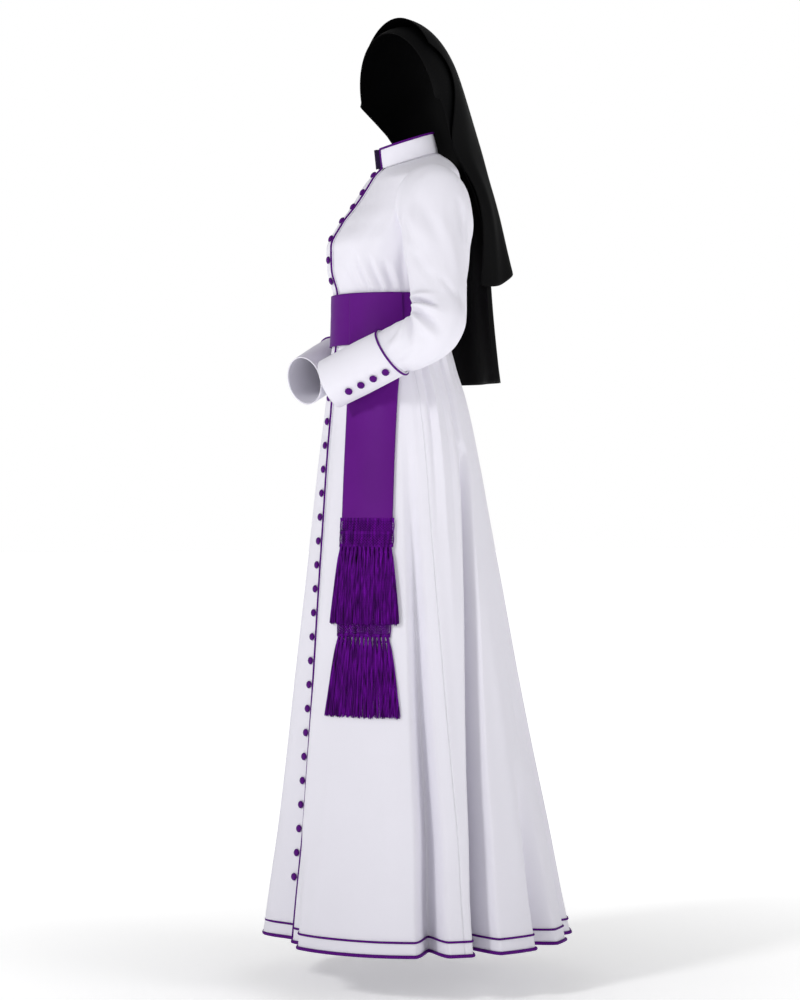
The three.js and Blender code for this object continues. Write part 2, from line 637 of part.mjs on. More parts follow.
// A wall on the collar between two shares of its height.
function collarWall(angles, shares, inside, outside) {
  const grid = (out) => shares.map((share) => angles.map((angle) => collarPoint(angle, share, out)));
  return wallGeometry(grid(outside), grid(inside));
}

const COLLAR_ANGLES = (() => {
  const start = collarAngle(COLLAR_OPENING.left);
  const end = 360 + collarAngle(COLLAR_OPENING.right);
  const count = Math.round((end - start) / COLLAR_STEP);
  return range(count + 1).map((i) => lerp(start, end, i / count));
})();

function buildCollar() {
  addMesh("collar", collarWall(COLLAR_ANGLES, [0, 0.5, 1], -WALL, 0), WHITE);
  const tabGrid = (depth) =>
    [0.02, 0.98].map((share) => COLLAR_TAB.map(({ x, out }) => collarPoint(collarAngle(x), share, out + depth)));
  addMesh("collar_tab", wallGeometry(tabGrid(WALL), tabGrid(0)), DARK_PURPLE);
}

// A flat cord on the cassock's lowest row of faces, between two shares of that row's height. Its
// points lie on the panels' own triangles: on each column and on each diagonal.
const [HEM_FOOT, HEM_HEAD] = bodyGrid(WHOLE_BODY_COLUMNS, HEIGHTS.slice(0, 2), 0);
function hemCord(low, high) {
  const line = (share) =>
    HEM_FOOT.flatMap((foot, column) => {
      const next = (column + 1) % HEM_FOOT.length;
      const diagonalFoot = foot.clone().lerp(HEM_FOOT[next], share === low ? high - low : 0);
      const onDiagonal = share > 0 ? foot.clone().lerp(HEM_HEAD[next], share) : diagonalFoot;
      return [foot.clone().lerp(HEM_HEAD[column], share), onDiagonal];
    });
  const grid = [line(low), line(high)];
  return wallGeometry(movedOut(grid, PIPING.thickness, true), movedOut(grid, 2 * SEAM, true), true);
}

// The cord round the front edge, the collar and the hem, with the second row above the hem.
function buildPiping() {
  const [inside, outside] = [SEAM, SEAM + PIPING.thickness];
  const edges = [LAP - PIPING.width, LAP];
  const frontGrid = (out) => HEIGHTS.map((height) => edges.map((x) => lapPoint(x, height, out)));
  const topShare = 1 - PIPING.width / COLLAR_HEIGHT;
  const hemRow = HEIGHTS[1] - HEIGHTS[0];
  const collarEnd = edges.map(collarAngle);
  const pieces = [
    wallGeometry(frontGrid(outside), frontGrid(inside)),
    collarWall(collarEnd, [-0.06, 1], 2 * SEAM, outside),
    collarWall(COLLAR_ANGLES, [topShare, 1], inside, outside),
    hemCord(0, HEM_PIPING_WIDTH / hemRow),
    hemCord(HEM_LINE_RISE / hemRow, (HEM_LINE_RISE + HEM_LINE_WIDTH) / hemRow),
  ];
  const joined = pieces.map(toSolid).reduce((sum, piece) => sum.add(piece));
  addMesh("piping", toGeometry(largestBody(joined)), PURPLE);
}

// ---------------------------------------------------------------- fascia
const FASCIA_ROWS = [...HEIGHTS, BAND_FOOT].sort((a, b) => a - b);
const rowsBetween = (foot, top) => [foot, ...FASCIA_ROWS.filter((height) => height > foot && height < top), top];
const BAND_OUT = PIPING.thickness + 2 * SEAM; // it passes over the front edge's cord

function buildBand() {
  const grid = (out) => bodyGrid(WHOLE_BODY_COLUMNS, rowsBetween(BAND_FOOT, BAND_TOP), out);
  addMesh("fascia_band", wallGeometry(grid(BAND_OUT + SILK), grid(BAND_OUT), true), PURPLE);
}

// The angle round the ring at which the plane of the tails meets it.
function tailAngle(height) {
  const { halfWidth, halfDepth, centreY } = ringAt(height);
  const slope = Math.tan(degToRad(TAIL.angle));
  const size = Math.hypot(halfWidth, slope * halfDepth);
  return radToDeg(Math.atan2(slope * halfDepth, halfWidth) - Math.asin((slope * centreY) / size));
}

// How far out a layer of the tails hangs: 0 is on the skirt, and 1 is on the other tail or on the band.
function layerOut(layer, height) {
  if (layer === 0) return TAIL.clear;
  const under = height >= BAND_FOOT - 1 ? BAND_OUT : TAIL.clear;
  return under + SILK + TAIL.clear;
}

// A strip across the tails' plane. width goes from its foot to its top.
function tailStrip(heights, widthAt, layer, thickness) {
  const grid = (out) =>
    heights.map((height) => {
      const middle = tailAngle(height);
      const degree = bodyPoint(middle, height).distanceTo(bodyPoint(middle + 1, height));
      return range(TAIL.parts + 1).map((i) => {
        const aside = (i / TAIL.parts - 0.5) * widthAt(height);
        return bodyPoint(middle + aside / degree, height, layerOut(layer, height) + out);
      });
    });
  return wallGeometry(grid(thickness), grid(0));
}

function buildTail({ name, top, foot, fringeFoot, fringeWidth, layer }) {
  const netFoot = foot - NET.height;
  const fringeTop = netFoot - SEAM;
  const spread = (height) => lerp(fringeWidth, NET.width, (height - fringeFoot) / (fringeTop - fringeFoot));
  const even = (width) => () => width;
  addMesh(`tail_${name}`, tailStrip(rowsBetween(foot, top), even(TAIL.width), layer, SILK), PURPLE);
  addMesh(`net_${name}`, tailStrip(rowsBetween(netFoot, foot - SEAM), even(NET.width), layer, SILK), PURPLE);
  const reach = layer === 0 ? SILK : FRINGE_THICKNESS;
  addMesh(`fringe_${name}`, tailStrip(rowsBetween(fringeFoot, fringeTop), spread, layer, reach), PURPLE);
}

// ---------------------------------------------------------------- veil
function veilPoint(row, share, fall, dip) {
  const angle = degToRad(lerp(row.from, row.to, share));
  const turn = degToRad(row.turn);
  const lean = degToRad(row.lean);
  const left = new THREE.Vector3(Math.cos(turn), Math.sin(turn), 0);
  const reach = new THREE.Vector3(-Math.sin(turn), Math.cos(turn), 0).multiplyScalar(Math.cos(lean));
  reach.z = Math.sin(lean);
  const wave = VEIL_WAVES.depth * fall ** 2 * Math.sin(2 * Math.PI * VEIL_WAVES.count * share);
  const foot = Math.max(0, 4 * fall - 3) ** 2; // only the lowest rows dip
  const point = toFrame(row.x, row.y, row.height - dip * foot * Math.cos(angle) ** 2);
  point.addScaledVector(left, (row.halfWidth + wave) * Math.cos(angle));
  return point.addScaledVector(reach, (row.reach + wave) * Math.sin(angle));
}

function buildVeil(name, rows, dip) {
  const grid = rows.map((row, i) => {
    const fall = i / (rows.length - 1);
    return range(VEIL_COLUMNS + 1).map((column) => veilPoint(row, column / VEIL_COLUMNS, fall, dip));
  });
  addMesh(name, wallGeometry(grid, movedOut(grid, SILK)), BLACK);
}

// ---------------------------------------------------------------- assembly
const sleeveForms = ["left", "right"].map(buildSleeve);
const PANELS = {
  front_right: FRONT_RIGHT_COLUMNS,
  front_left: FRONT_LEFT_COLUMNS,
  back_left: BACK_LEFT_COLUMNS,
  back_right: BACK_RIGHT_COLUMNS,
};
for (const [name, columns] of Object.entries(PANELS)) {
  const wall = toSolid(wallGeometry(bodyGrid(columns, HEIGHTS, 0), bodyGrid(columns, HEIGHTS, -WALL)));
  const opened = sleeveForms.reduce((solid, form) => solid.subtract(form), wall);
  addMesh(name, toGeometry(largestBody(opened)), WHITE);
}
for (const side of ["left", "right"]) {
  buildCuff(side);
  buildCuffButtons(side);
}
buildFrontButtons();
buildCollar();
buildPiping();
buildBand();
TAIL_SET.forEach(buildTail);
buildVeil("veil_inner", VEIL_INNER, 0);
buildVeil("veil_outer", VEIL_OUTER, VEIL_OUTER_DIP);

export default group;
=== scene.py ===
"""Cassock and veil set: cloth, cords, buttons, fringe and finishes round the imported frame.

Sizes in the tables are millimetres. Heights are above the floor, x is to the wearer's left of the
centre line, and y is behind the body's axis. Meshes are made in metres, in the frame's own axes.
"""

import math

import bpy
import numpy as np
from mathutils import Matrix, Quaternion, Vector
from mathutils.bvhtree import BVHTree


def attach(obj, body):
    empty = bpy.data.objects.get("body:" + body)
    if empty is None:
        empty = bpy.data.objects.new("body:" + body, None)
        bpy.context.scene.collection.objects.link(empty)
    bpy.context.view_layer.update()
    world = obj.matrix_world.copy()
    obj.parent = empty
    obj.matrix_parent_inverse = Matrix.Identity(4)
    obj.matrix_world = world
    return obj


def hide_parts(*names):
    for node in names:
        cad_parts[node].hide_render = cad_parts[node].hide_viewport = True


bl_info = {
    "name": "Cassock and Veil Set",
    "version": (1, 0, 0),
    "blender": (4, 5, 0),
    "location": "View3D > Sidebar > Cassock",
    "description": "Makes a worn cassock with piping and buttons, a fringed fascia and a two-tier veil",
    "category": "Add Mesh",
}

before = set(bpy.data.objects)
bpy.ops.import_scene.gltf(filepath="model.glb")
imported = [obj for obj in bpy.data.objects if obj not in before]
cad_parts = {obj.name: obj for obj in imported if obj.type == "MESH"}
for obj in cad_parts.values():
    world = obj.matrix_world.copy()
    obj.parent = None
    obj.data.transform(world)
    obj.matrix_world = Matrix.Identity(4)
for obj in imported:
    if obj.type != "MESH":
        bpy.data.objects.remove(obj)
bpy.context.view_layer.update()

# ---------------------------------------------------------------- driving dimensions
MM = 0.001
NECK_HEIGHT = 1523.0
AXIS_Y = -25.0
WALL = 2.0
SILK = 1.5
TAIL_WALL = 1.2
SEAM = 0.3
SEAM_GAP = 0.01
SEAM_GROOVE = (0.12, 2.2)  # depth and half width of the groove on each seam
LAP = 14.0
UNDERLAP = 16.0
UNDERLAP_STEP = (26.0, 15.0)  # the left front drops under the lap between these x
HEM = 86.0
HEM_CORD_RISE = 3.0
HEM_LINE_RISE = 27.7
COLLAR_CORD_RISE = 0.955  # share of the collar's height
BAND_FOOT = 1176.0
BAND_TOP = 1271.0

# rows and columns of the grids that the cloth is made on
SKIRT_ROWS, BODICE_ROWS, PANEL_COLUMNS = 150, 76, 126
SLEEVE_ROWS, SLEEVE_COLUMNS, SLEEVE_SEARCH_ROWS = 170, 72, 240
CUFF_ROWS, CUFF_COLUMNS = 44, 96
COLLAR_ROWS, COLLAR_COLUMNS = 20, 200
STRIP_ROWS, STRIP_COLUMNS = 16, 40
BAND_ROWS = 30
TAIL_ROWS, TAIL_COLUMNS = 110, 34
VEIL_ROWS, VEIL_COLUMNS = 152, 126

# height, half width, reach to the front, reach to the back, rise of the back over the front
RINGS = [
    (86, 290, 243, 328, 0),
    (180, 277, 230, 308, 0),
    (290, 265, 214, 286, 0),
    (415, 245, 200, 260, 0),
    (560, 223, 184, 231, 0),
    (713, 204, 168, 202, 0),
    (850, 185, 153, 176, 0),
    (970, 170, 140, 154, 0),
    (1075, 150, 127, 129, 0),
    (1141, 130, 120, 108, 0),
    (1205, 116, 115, 95, 0),
    (1271, 121, 114, 102, 0),
    (1318, 136, 125, 115, 0),
    (1358, 146, 126, 125, 0),
    (1400, 153, 106, 127, 0),
    (1440, 158, 78, 122, 6),
    (1486, 160, 51, 110, 16),
    (1505, 122, 42, 101, 26),
    (1523, 62, 29, 80, 34),
]

# degrees round from the front at the hem, reach to each side, depth at the hem, height where it has
# faded, and how soon it deepens below that height
FOLDS = [
    (3, 18, 44, 1130, 1),
    (17, 8, 26, 300, 1),
    (78, 6.5, 70, 1040, 1),
    (98.5, 6, 95, 1000, 0.6),
    (128, 8, 60, 420, 1),
    (153, 9, 38, 860, 1),
    (188, 11, 64, 980, 1),
    (216, 8, 44, 700, 1),
    (243, 9, 72, 940, 1),
    (276, 7, 86, 1000, 1),
    (306, 9, 52, 780, 1),
]
# The left side's folds drift back as they rise: the degrees round at the hem, and how much further
# back they are at DRIFT_HEIGHT. Above it they come forward again.
DRIFT = [(84.5, 0), (92.5, 26.5), (104.5, 26.5), (144, 0)]
DRIFT_HEIGHT = 980.0
DRIFT_END = 1141.0

# outer x and height, inner x and height, y, half depth of each oblique ring of the sleeve's head
SLEEVE_HEAD = [
    (108, 1486, 104, 1360, 20, 38),
    (134, 1497, 124, 1352, 18, 58),
    (168, 1500, 138, 1345, 22, 62),
    (197, 1483, 143, 1338, 25, 66),
    (217, 1443, 149, 1325, 25, 66),
    (232, 1388, 156, 1302, 20, 61),
    (246, 1328, 162, 1276, 18, 55),
]
# x, y, height, share of the elbow's bend, radius, squash across the arm
SLEEVE_ARM = [
    (216, 16, 1252, 0, 50, 0.95),
    (230, 11, 1218, 0.25, 51, 0.92),
    (231, 0, 1194, 0.55, 50, 0.88),
    (221, -17, 1179, 0.85, 48, 0.8),
    (202, -38, 1168, 1, 46.5, 0.77),
]
UPPER_ARM = Vector((0.24, -0.06, -0.97)).normalized()
ELBOW = (246, 5, 1197)
WRIST = {"left": (96, -151, 1103), "right": (80, -153, 1116)}
CUFF_LENGTH = 138.0
CUFF_SLANT = 9.0
CUFF_RADIUS = 46.5
CUFF_SQUASH = 0.76
SLEEVE_UNDER_CUFF = 14.0
SLEEVE_TURN_IN = 7.0
ARMHOLE_TURN_IN = 6.0
SLEEVES_REACH_IN = (100.0, 1290.0)  # no sleeve meets the body nearer the middle or lower than this
CUFF_BUTTON_COUNT = 4
CUFF_BUTTON_SPACING = 27.0
CUFF_BUTTON_FIRST = 41.0
CUFF_BUTTON_DROP = 45.0

COLLAR_HEIGHT = 37.0
COLLAR_FOOT = 62.0  # half width
COLLAR_TOP = (60.0, 33.0, 70.0)  # half width, reach to the front and to the back
COLLAR_TURN_IN = -0.022  # share of its height that its foot runs on below the seam
COLLAR_OPENING = (9.5, -13.0)
# x and how far out the back face of the strip in the collar's opening is
COLLAR_STRIP = [(-19, 2.6), (-12, 2.6), (6, -5.0), (15.5, -5.0)]

# heights of the buttons on the front
BUTTON_X = -3.0
BODICE_BUTTONS = [1509, 1468, 1438, 1409, 1375, 1336, 1298]
SKIRT_BUTTONS = [1126 - 44.1 * i for i in range(22)]

BUTTON_SIDES = 20
BUTTON_GATHERS = 10
# radius and height as shares of the button's radius, and whether the cover is gathered there
BUTTON_PROFILE = [
    (0.62, 0.0, 0),
    (0.86, 0.1, 1),
    (1.0, 0.3, 1),
    (0.97, 0.48, 1),
    (0.84, 0.67, 1),
    (0.62, 0.82, 0),
    (0.36, 0.92, 0),
    (0.13, 0.955, 0),
]

BAND_OUT = 2.6
TAIL_ANGLE = 55.7
TAIL_WIDTH = 101.0
TAIL_CLEAR = 1.2
NET_HEIGHT = 54.0
NET_WIDTH = 108.0
NET_CELLS = 18  # across the net
NET_ROWS = 5  # down each of its two bands
RAIL_SHARE = 1.4  # radius of the cords between the bands, over the net's own
TASSELS = 13
STRANDS_ACROSS = 6
STRANDS_DEEP = 3
# name, top, foot, foot of the fringe, width there, layer
TAILS = [
    ("front", 1271.0, 859.0, 669.0, 139.0, 1),
    ("back", 1173.0, 699.0, 504.0, 150.0, 0),
]

# x, y, height, half width, reach, lean, turn, first and last degrees of each row of a tier
VEIL_INNER = [
    (-10, 9, 1635, 82, 129, 107, 40, 0, 180),
    (-12, 12, 1635, 86, 150, 88, 40, 0, 180),
    (-13, 13, 1635, 89, 154, 64, 40, 0, 180),
    (-14, 15, 1633, 91, 152, 40, 40, 0, 180),
    (-17, 19, 1625, 92, 148, 18, 38, 0, 178),
    (-13, 30, 1590, 94, 143, 5, 33, 2, 166),
    (-18, 38, 1540, 97, 149, 0, 26, 2, 152),
    (-29, 98, 1480, 100, 67, 0, 19, 2, 150),
    (-28, 122, 1400, 104, 44, 0, 15, 4, 152),
    (-26, 126, 1300, 106, 45, 0, 12, 6, 158),
    (-24, 132, 1205, 109, 49, 0, 11, 6, 162),
    (-22, 138, 1112, 114, 57, 0, 10, 6, 164),
]
VEIL_OUTER = [
    (-12, 12, 1635, 92, 157, 92, 40, 42, 140),
    (-13, 13, 1635, 95, 161, 72, 40, 34, 146),
    (-14, 15, 1633, 97, 160, 46, 40, 26, 154),
    (-17, 19, 1625, 99, 157, 22, 38, 14, 165),
    (-13, 30, 1590, 101, 151, 6, 33, 4, 165),
    (-18, 38, 1540, 104, 157, 0, 26, 0, 153),
    (-29, 99, 1480, 108, 82, 0, 19, 0, 152),
    (-28, 126, 1400, 112, 75, 0, 15, -5, 156),
    (-27, 132, 1325, 120, 91, 0, 12, -12, 160),
]
VEIL_WAVE_COUNT = 3.5
VEIL_WAVE_DEPTH = 3.2
VEIL_OUTER_DIP = 38.0
VEIL_SMOOTHING = 160

# Soft creases of the body: degrees round and height of each end, half width, and how
# far it stands out, or lies in where that is below zero. It fades at both ends.
BODY_CREASES = [
    (36, 1344, 52, 1262, 4.5, -4.5),
    (40, 1340, 57, 1264, 5, 2.6),
    (48, 1338, 65, 1262, 4.5, -5.0),
    (54, 1334, 69, 1264, 5, 3.0),
    (62, 1330, 76, 1262, 5, -4.6),
    (70, 1330, 80, 1268, 5, 2.6),
    (76, 1356, 85, 1270, 7, -4.0),
    (29, 1330, 40, 1266, 7, -2.5),
    (22, 1400, 40, 1330, 16, 2.5),
    (52, 1420, 48, 1340, 14, -2.5),
    (-35, 1338, -50, 1268, 7, -2.8),
    (-42, 1334, -58, 1270, 6, 1.5),
    (-49, 1332, -64, 1270, 6, -3.2),
    (-63, 1324, -76, 1272, 7, -2.6),
    (-78, 1350, -86, 1274, 8, -2.0),
    (98, 1350, 92, 1276, 8, -2.4),
    (112, 1356, 102, 1274, 7, -3.2),
    (122, 1350, 114, 1274, 7, 1.8),
    (134, 1352, 126, 1272, 8, -2.8),
    (160, 1360, 152, 1272, 9, -2.2),
    (196, 1356, 206, 1272, 9, -2.4),
    (222, 1354, 232, 1272, 7, -3.0),
    (238, 1350, 246, 1274, 7, 1.7),
    (250, 1352, 256, 1274, 7, -2.8),
    (64, 1428, 76, 1368, 10, -3.0),
    (55, 1440, 66, 1380, 9, 1.8),
    (-66, 1430, -75, 1370, 10, -2.8),
    (118, 1440, 108, 1376, 12, -3.0),
    (240, 1438, 252, 1374, 12, -2.8),
    (72, 560, 70, 90, 26, 3.5),
    (46, 470, 44, 92, 30, -3.5),
    (32, 420, 31, 90, 16, 3.0),
    (60, 430, 60, 90, 18, 2.5),
    (91, 760, 88, 110, 15, 3.5),
    (84, 930, 85, 300, 9, -2.5),
    (126, 800, 117, 140, 18, 4.0),
    (138, 760, 134, 160, 14, -3.5),
    (-38, 760, -40, 92, 24, 4.0),
    (-58, 820, -61, 92, 20, -4.0),
    (-102, 900, -104, 100, 20, 4.0),
    (170, 800, 171, 100, 22, 3.5),
    (203, 780, 202, 100, 18, -3.5),
    (229, 700, 230, 100, 18, 3.5),
    (262, 840, 260, 110, 18, -3.0),
]
# The same, at full depth where they start, for pleats that fan out from the band.
BODY_PLEATS = [
    (88, 1168, 85, 880, 8, -2.2),
    (99, 1168, 93, 740, 6, -5.0),
    (105, 1168, 97, 560, 6, 3.6),
    (113, 1168, 104, 640, 7, -2.6),
    (124, 1168, 111, 640, 6, -5.4),
    (132, 1168, 120, 800, 8, 3.0),
    (144, 1168, 133, 840, 9, -2.8),
    (157, 1168, 150, 900, 8, 3.0),
    (169, 1168, 166, 820, 7, -4.0),
    (181, 1168, 181, 760, 8, 3.6),
    (193, 1168, 195, 820, 7, -4.2),
    (206, 1168, 210, 860, 8, 3.2),
    (218, 1168, 226, 840, 8, -4.0),
    (232, 1168, 242, 860, 8, 3.4),
    (246, 1168, 254, 780, 7, -4.2),
    (259, 1168, 264, 760, 7, 3.2),
    (271, 1168, 273, 800, 7, -3.6),
    (284, 1168, 286, 860, 8, 2.6),
    (298, 1168, 301, 900, 8, -2.6),
    (314, 1168, 318, 920, 9, 2.0),
]
# Creases of a sleeve: degrees round it and millimetres along it of each end, half width, depth.
SLEEVE_CREASES = [
    (124, 243, 60, 244, 3.4, -10.0),
    (88, 243, 22, 259, 3.2, -14.0),
    (112, 232, 18, 243, 6, 6.0),
    (108, 256, 14, 269, 6, 7.5),
    (104, 270, 0, 290, 5, -8.5),
    (96, 286, -12, 306, 7, 6.0),
    (110, 296, 20, 334, 5, -7.0),
    (112, 312, 30, 360, 7, 5.0),
    (100, 330, 34, 384, 6, -4.5),
    (62, 350, 10, 396, 8, 3.5),
    (20, 318, -18, 378, 9, -3.6),
    (-34, 300, -50, 372, 10, 3.2),
    (150, 246, 200, 262, 7, -5.0),
    (162, 276, 214, 296, 8, -4.5),
    (92, 84, 54, 168, 8, -4.2),
    (70, 92, 26, 176, 9, 3.6),
    (48, 84, 4, 172, 8, -4.0),
    (10, 116, -28, 214, 11, 3.4),
    (78, 150, 14, 232, 8, -4.6),
    (58, 176, -6, 240, 8, 3.8),
    (40, 196, -26, 246, 7, -3.8),
    (-24, 96, -48, 160, 7, -5.5),
    (-34, 112, -60, 176, 7, 3.6),
    (-66, 110, -78, 214, 12, -3.4),
    (-104, 120, -96, 216, 12, 3.2),
    (-20, 226, -74, 268, 9, -3.6),
    (136, 110, 112, 200, 9, -3.8),
    (196, 130, 190, 214, 11, -3.4),
]


# ---------------------------------------------------------------- curves and arrays
def stacked(x, y, z):
    """Points from their three coordinates."""
    return np.stack(np.broadcast_arrays(x, y, z), axis=-1)


def unit(vectors):
    length = np.linalg.norm(vectors, axis=-1, keepdims=True)
    return vectors / np.maximum(length, 1e-9)


def wrapped(degrees):
    """The same angle between -180 and 180 degrees."""
    return (degrees + 180.0) % 360.0 - 180.0


def smoothstep(value, low, high):
    """0 before low and 1 after high, with a soft ramp between. low may be the higher number."""
    share = np.clip((value - low) / (high - low), 0.0, 1.0)
    return share * share * (3.0 - 2.0 * share)


def smooth_curve(stations, values):
    """A function through rows of values that doesn't overshoot between two of them."""
    x = np.asarray(stations, float)
    y = np.asarray(values, float).reshape(len(x), -1)
    gap = np.diff(x)[:, None]
    slope = np.diff(y, axis=0) / gap
    tangent = np.zeros_like(y)
    tangent[0], tangent[-1] = slope[0], slope[-1]
    before, after = slope[:-1], slope[1:]
    weight_before = 2 * gap[1:] + gap[:-1]
    weight_after = gap[1:] + 2 * gap[:-1]
    same = before * after > 0
    safe_before = np.where(same, before, 1.0)
    safe_after = np.where(same, after, 1.0)
    mean = (weight_before + weight_after) / (weight_before / safe_before + weight_after / safe_after)
    tangent[1:-1] = np.where(same, mean, 0.0)

    def value_at(station):
        place = np.clip(np.asarray(station, float), x[0], x[-1])
        i = np.clip(np.searchsorted(x, place, side="right") - 1, 0, len(x) - 2)
        step = (x[i + 1] - x[i])[..., None]
        t = ((place - x[i]) / (x[i + 1] - x[i]))[..., None]
        start = (1 + 2 * t) * (1 - t) ** 2 * y[i] + t * (1 - t) ** 2 * step * tangent[i]
        end = t * t * (3 - 2 * t) * y[i + 1] + t * t * (t - 1) * step * tangent[i + 1]
        return start + end

    return value_at


def grid_normals(points, wrap=False):
    """Normals of a grid of points, across its columns times along its rows."""
    around = np.roll(points, -1, axis=1) - np.roll(points, 1, axis=1)
    across = around if wrap else np.gradient(points, axis=1)
    return unit(np.cross(across, np.gradient(points, axis=0)))


def noise_field(a, b, seed, octaves=3):
    """Slow waves that don't repeat, between about -1 and 1, over two coordinates."""
    random = np.random.default_rng(seed)
    total = np.zeros(np.broadcast(a, b).shape)
    for octave in range(octaves):
        for _ in range(3):
            direction = random.uniform(0, 2 * math.pi)
            phase = random.uniform(0, 2 * math.pi)
            pitch = random.uniform(0.7, 1.3) * 1.9**octave
            wave = pitch * (a * math.cos(direction) + b * math.sin(direction)) + phase
            total = total + np.sin(wave) / (3 * 1.6**octave)
    return total


# ---------------------------------------------------------------- the body's surface
# The cloth under the tails is calm: the middle of it in degrees, where it ends to each side in
# millimetres, and the heights between which it ends below.
CALM_ANGLE = 53
CALM_ASIDE = (78, 58)
CALM_FOOT = (480, 520)

_ring_table = np.array(RINGS, float)
_rings = smooth_curve(_ring_table[:, 0], _ring_table[:, 1:])


def ring_at(height):
    """Half width, half depth, middle y and rise of the body's ring at a height."""
    row = _rings(height)
    front, back = row[..., 1], row[..., 2]
    return row[..., 0], (front + back) / 2, (back - front) / 2, row[..., 3]


def undrifted(angle, height):
    """Degrees round at the hem of the fold line that passes each place."""
    below = np.clip((height - HEM) / (DRIFT_HEIGHT - HEM), 0, 1) ** 1.8
    above = np.clip((DRIFT_END - height) / (DRIFT_END - DRIFT_HEIGHT), 0, 1)
    share = np.where(height > DRIFT_HEIGHT, above, below)
    angle = angle % 360.0
    result = angle + 0.0 * share
    for (low, low_back), (high, high_back) in zip(DRIFT, DRIFT[1:]):
        start, end = low + low_back * share, high + high_back * share
        moved = low + (high - low) * (angle - start) / (end - start)
        result = np.where((angle >= start) & (angle < end), moved, result)
    return result


def fold_depth(angle, height):
    """The skirt's folds at each point, added up. Each fades out towards its top."""
    hem_angle = undrifted(angle, height)
    depth = np.zeros(hem_angle.shape)
    for middle, reach, deepest, fades, early in FOLDS:
        away = np.abs(wrapped(hem_angle - middle))
        grown = np.clip((fades - height) / (fades - HEM), 0, None) ** early
        profile = np.cos(np.clip(away / reach, 0, 1) * math.pi / 2) ** 2
        depth = depth + deepest * grown * profile
    return depth


def relief(angle, height, creases, metric, one_sided=False):
    """How far a list of creases moves each point out."""
    total = np.zeros(np.broadcast(angle, height).shape)
    for angle_0, height_0, angle_1, height_1, width, depth in creases:
        scale = metric((height_0 + height_1) / 2)
        dx = wrapped(angle - angle_0) * scale
        dy = height - height_0
        ex = wrapped(angle_1 - angle_0) * scale
        ey = height_1 - height_0
        t = np.clip((dx * ex + dy * ey) / (ex * ex + ey * ey), 0, 1)
        distance = (dx - t * ex) ** 2 + (dy - t * ey) ** 2
        fade = np.cos(t * math.pi / 2) ** 1.3 if one_sided else np.sin(np.clip(t, 0.02, 0.98) * math.pi)
        total = total + depth * fade * np.exp(-distance / width**2)
    return total


def body_metric(height):
    """Millimetres for a degree round the body at a height."""
    half_width, half_depth, _, _ = ring_at(height)
    return float(half_width + half_depth) / 2 * math.pi / 180


def body_relief(angle, height):
    """How far creases, pleats and slow waves move the body's cloth at each point."""
    slow = 1.6 * noise_field(angle / 22, height / 150, 5) * smoothstep(height, 1130, 1040)
    bodice = 0.5 * noise_field(angle / 12, height / 60, 8) * smoothstep(height, 1265, 1310)
    total = relief(angle, height, BODY_CREASES, body_metric) + slow + bodice
    total = total + relief(angle, height, BODY_PLEATS, body_metric, one_sided=True)
    # The tails, the front edge and the band lie on calm cloth.
    beside_tails = np.abs(wrapped(angle - CALM_ANGLE)) * body_metric(900)
    near_tails = smoothstep(beside_tails, *CALM_ASIDE) * smoothstep(height, *CALM_FOOT)
    calm = np.maximum(1 - 0.85 * near_tails, smoothstep(height, BAND_TOP, BAND_TOP + 8))
    return total * calm * smoothstep(np.abs(wrapped(angle)), 4, 12)


def face(angle, height, rough=True):
    """The outer face of the cassock, by degrees round from the front and height."""
    half_width, half_depth, centre_y, rise = ring_at(height)
    turn = np.radians(angle)
    sine, cosine = np.sin(turn), np.cos(turn)
    inward = unit(stacked(-sine / half_width, cosine / half_depth, 0.0 * sine))
    x = half_width * sine
    y = centre_y - half_depth * cosine + AXIS_Y
    z = height - rise / 2 * cosine - NECK_HEIGHT
    depth = fold_depth(angle, height)
    if rough:
        depth = depth - body_relief(angle, height)
    return stacked(x, y, z) + inward * depth[..., None]


def face_normal(angle, height, rough=True):
    """The way that the body's cloth faces at each point."""
    low = np.maximum(height - 6, HEM)
    high = np.minimum(height + 6, NECK_HEIGHT)
    across = face(angle + 1, height, rough) - face(angle - 1, height, rough)
    up = face(angle, high, rough) - face(angle, low, rough)
    return unit(np.cross(across, up))


def cloth(angle, height, out=0.0, rough=True):
    """Points on the body's cloth, moved out from it by a distance."""
    angle, height = np.broadcast_arrays(np.asarray(angle, float), np.asarray(height, float))
    out = np.broadcast_to(np.asarray(out, float), angle.shape)
    return face(angle, height, rough) + face_normal(angle, height, rough) * out[..., None]


def angle_at_x(x, height):
    """The angle at which the front of the body's ring is x from its middle."""
    return np.degrees(np.arcsin(np.clip(x / ring_at(height)[0], -1, 1)))


def inside_body(points):
    """How far inside the body's rings a point lies, as a share: below 0 is inside."""
    x, y, level = points[..., 0], points[..., 1] - AXIS_Y, points[..., 2] + NECK_HEIGHT
    height = level
    for _ in range(4):
        half_width, half_depth, centre_y, rise = ring_at(np.clip(height, HEM, NECK_HEIGHT))
        flat_x, flat_y = x / half_width, (centre_y - y) / half_depth
        size = np.maximum(np.hypot(flat_x, flat_y), 1e-6)
        height = level + rise / 2 * flat_y / size
    return np.where(height > NECK_HEIGHT, 1.0, size - 1.0)


# ---------------------------------------------------------------- the sleeves' surface
def arm_frame(side):
    """The wrist, the way that the forearm points and the level way across it."""
    wrist = Vector(WRIST[side])
    direction = (wrist - Vector(ELBOW)).normalized()
    across = Vector((-direction.y, direction.x, 0)).normalized()
    return wrist + Vector((0, AXIS_Y, -NECK_HEIGHT)), direction, across


def squashed(vector, across, squash):
    """A vector with its part across the arm made smaller."""
    return vector - across * vector.dot(across) * (1 - squash)


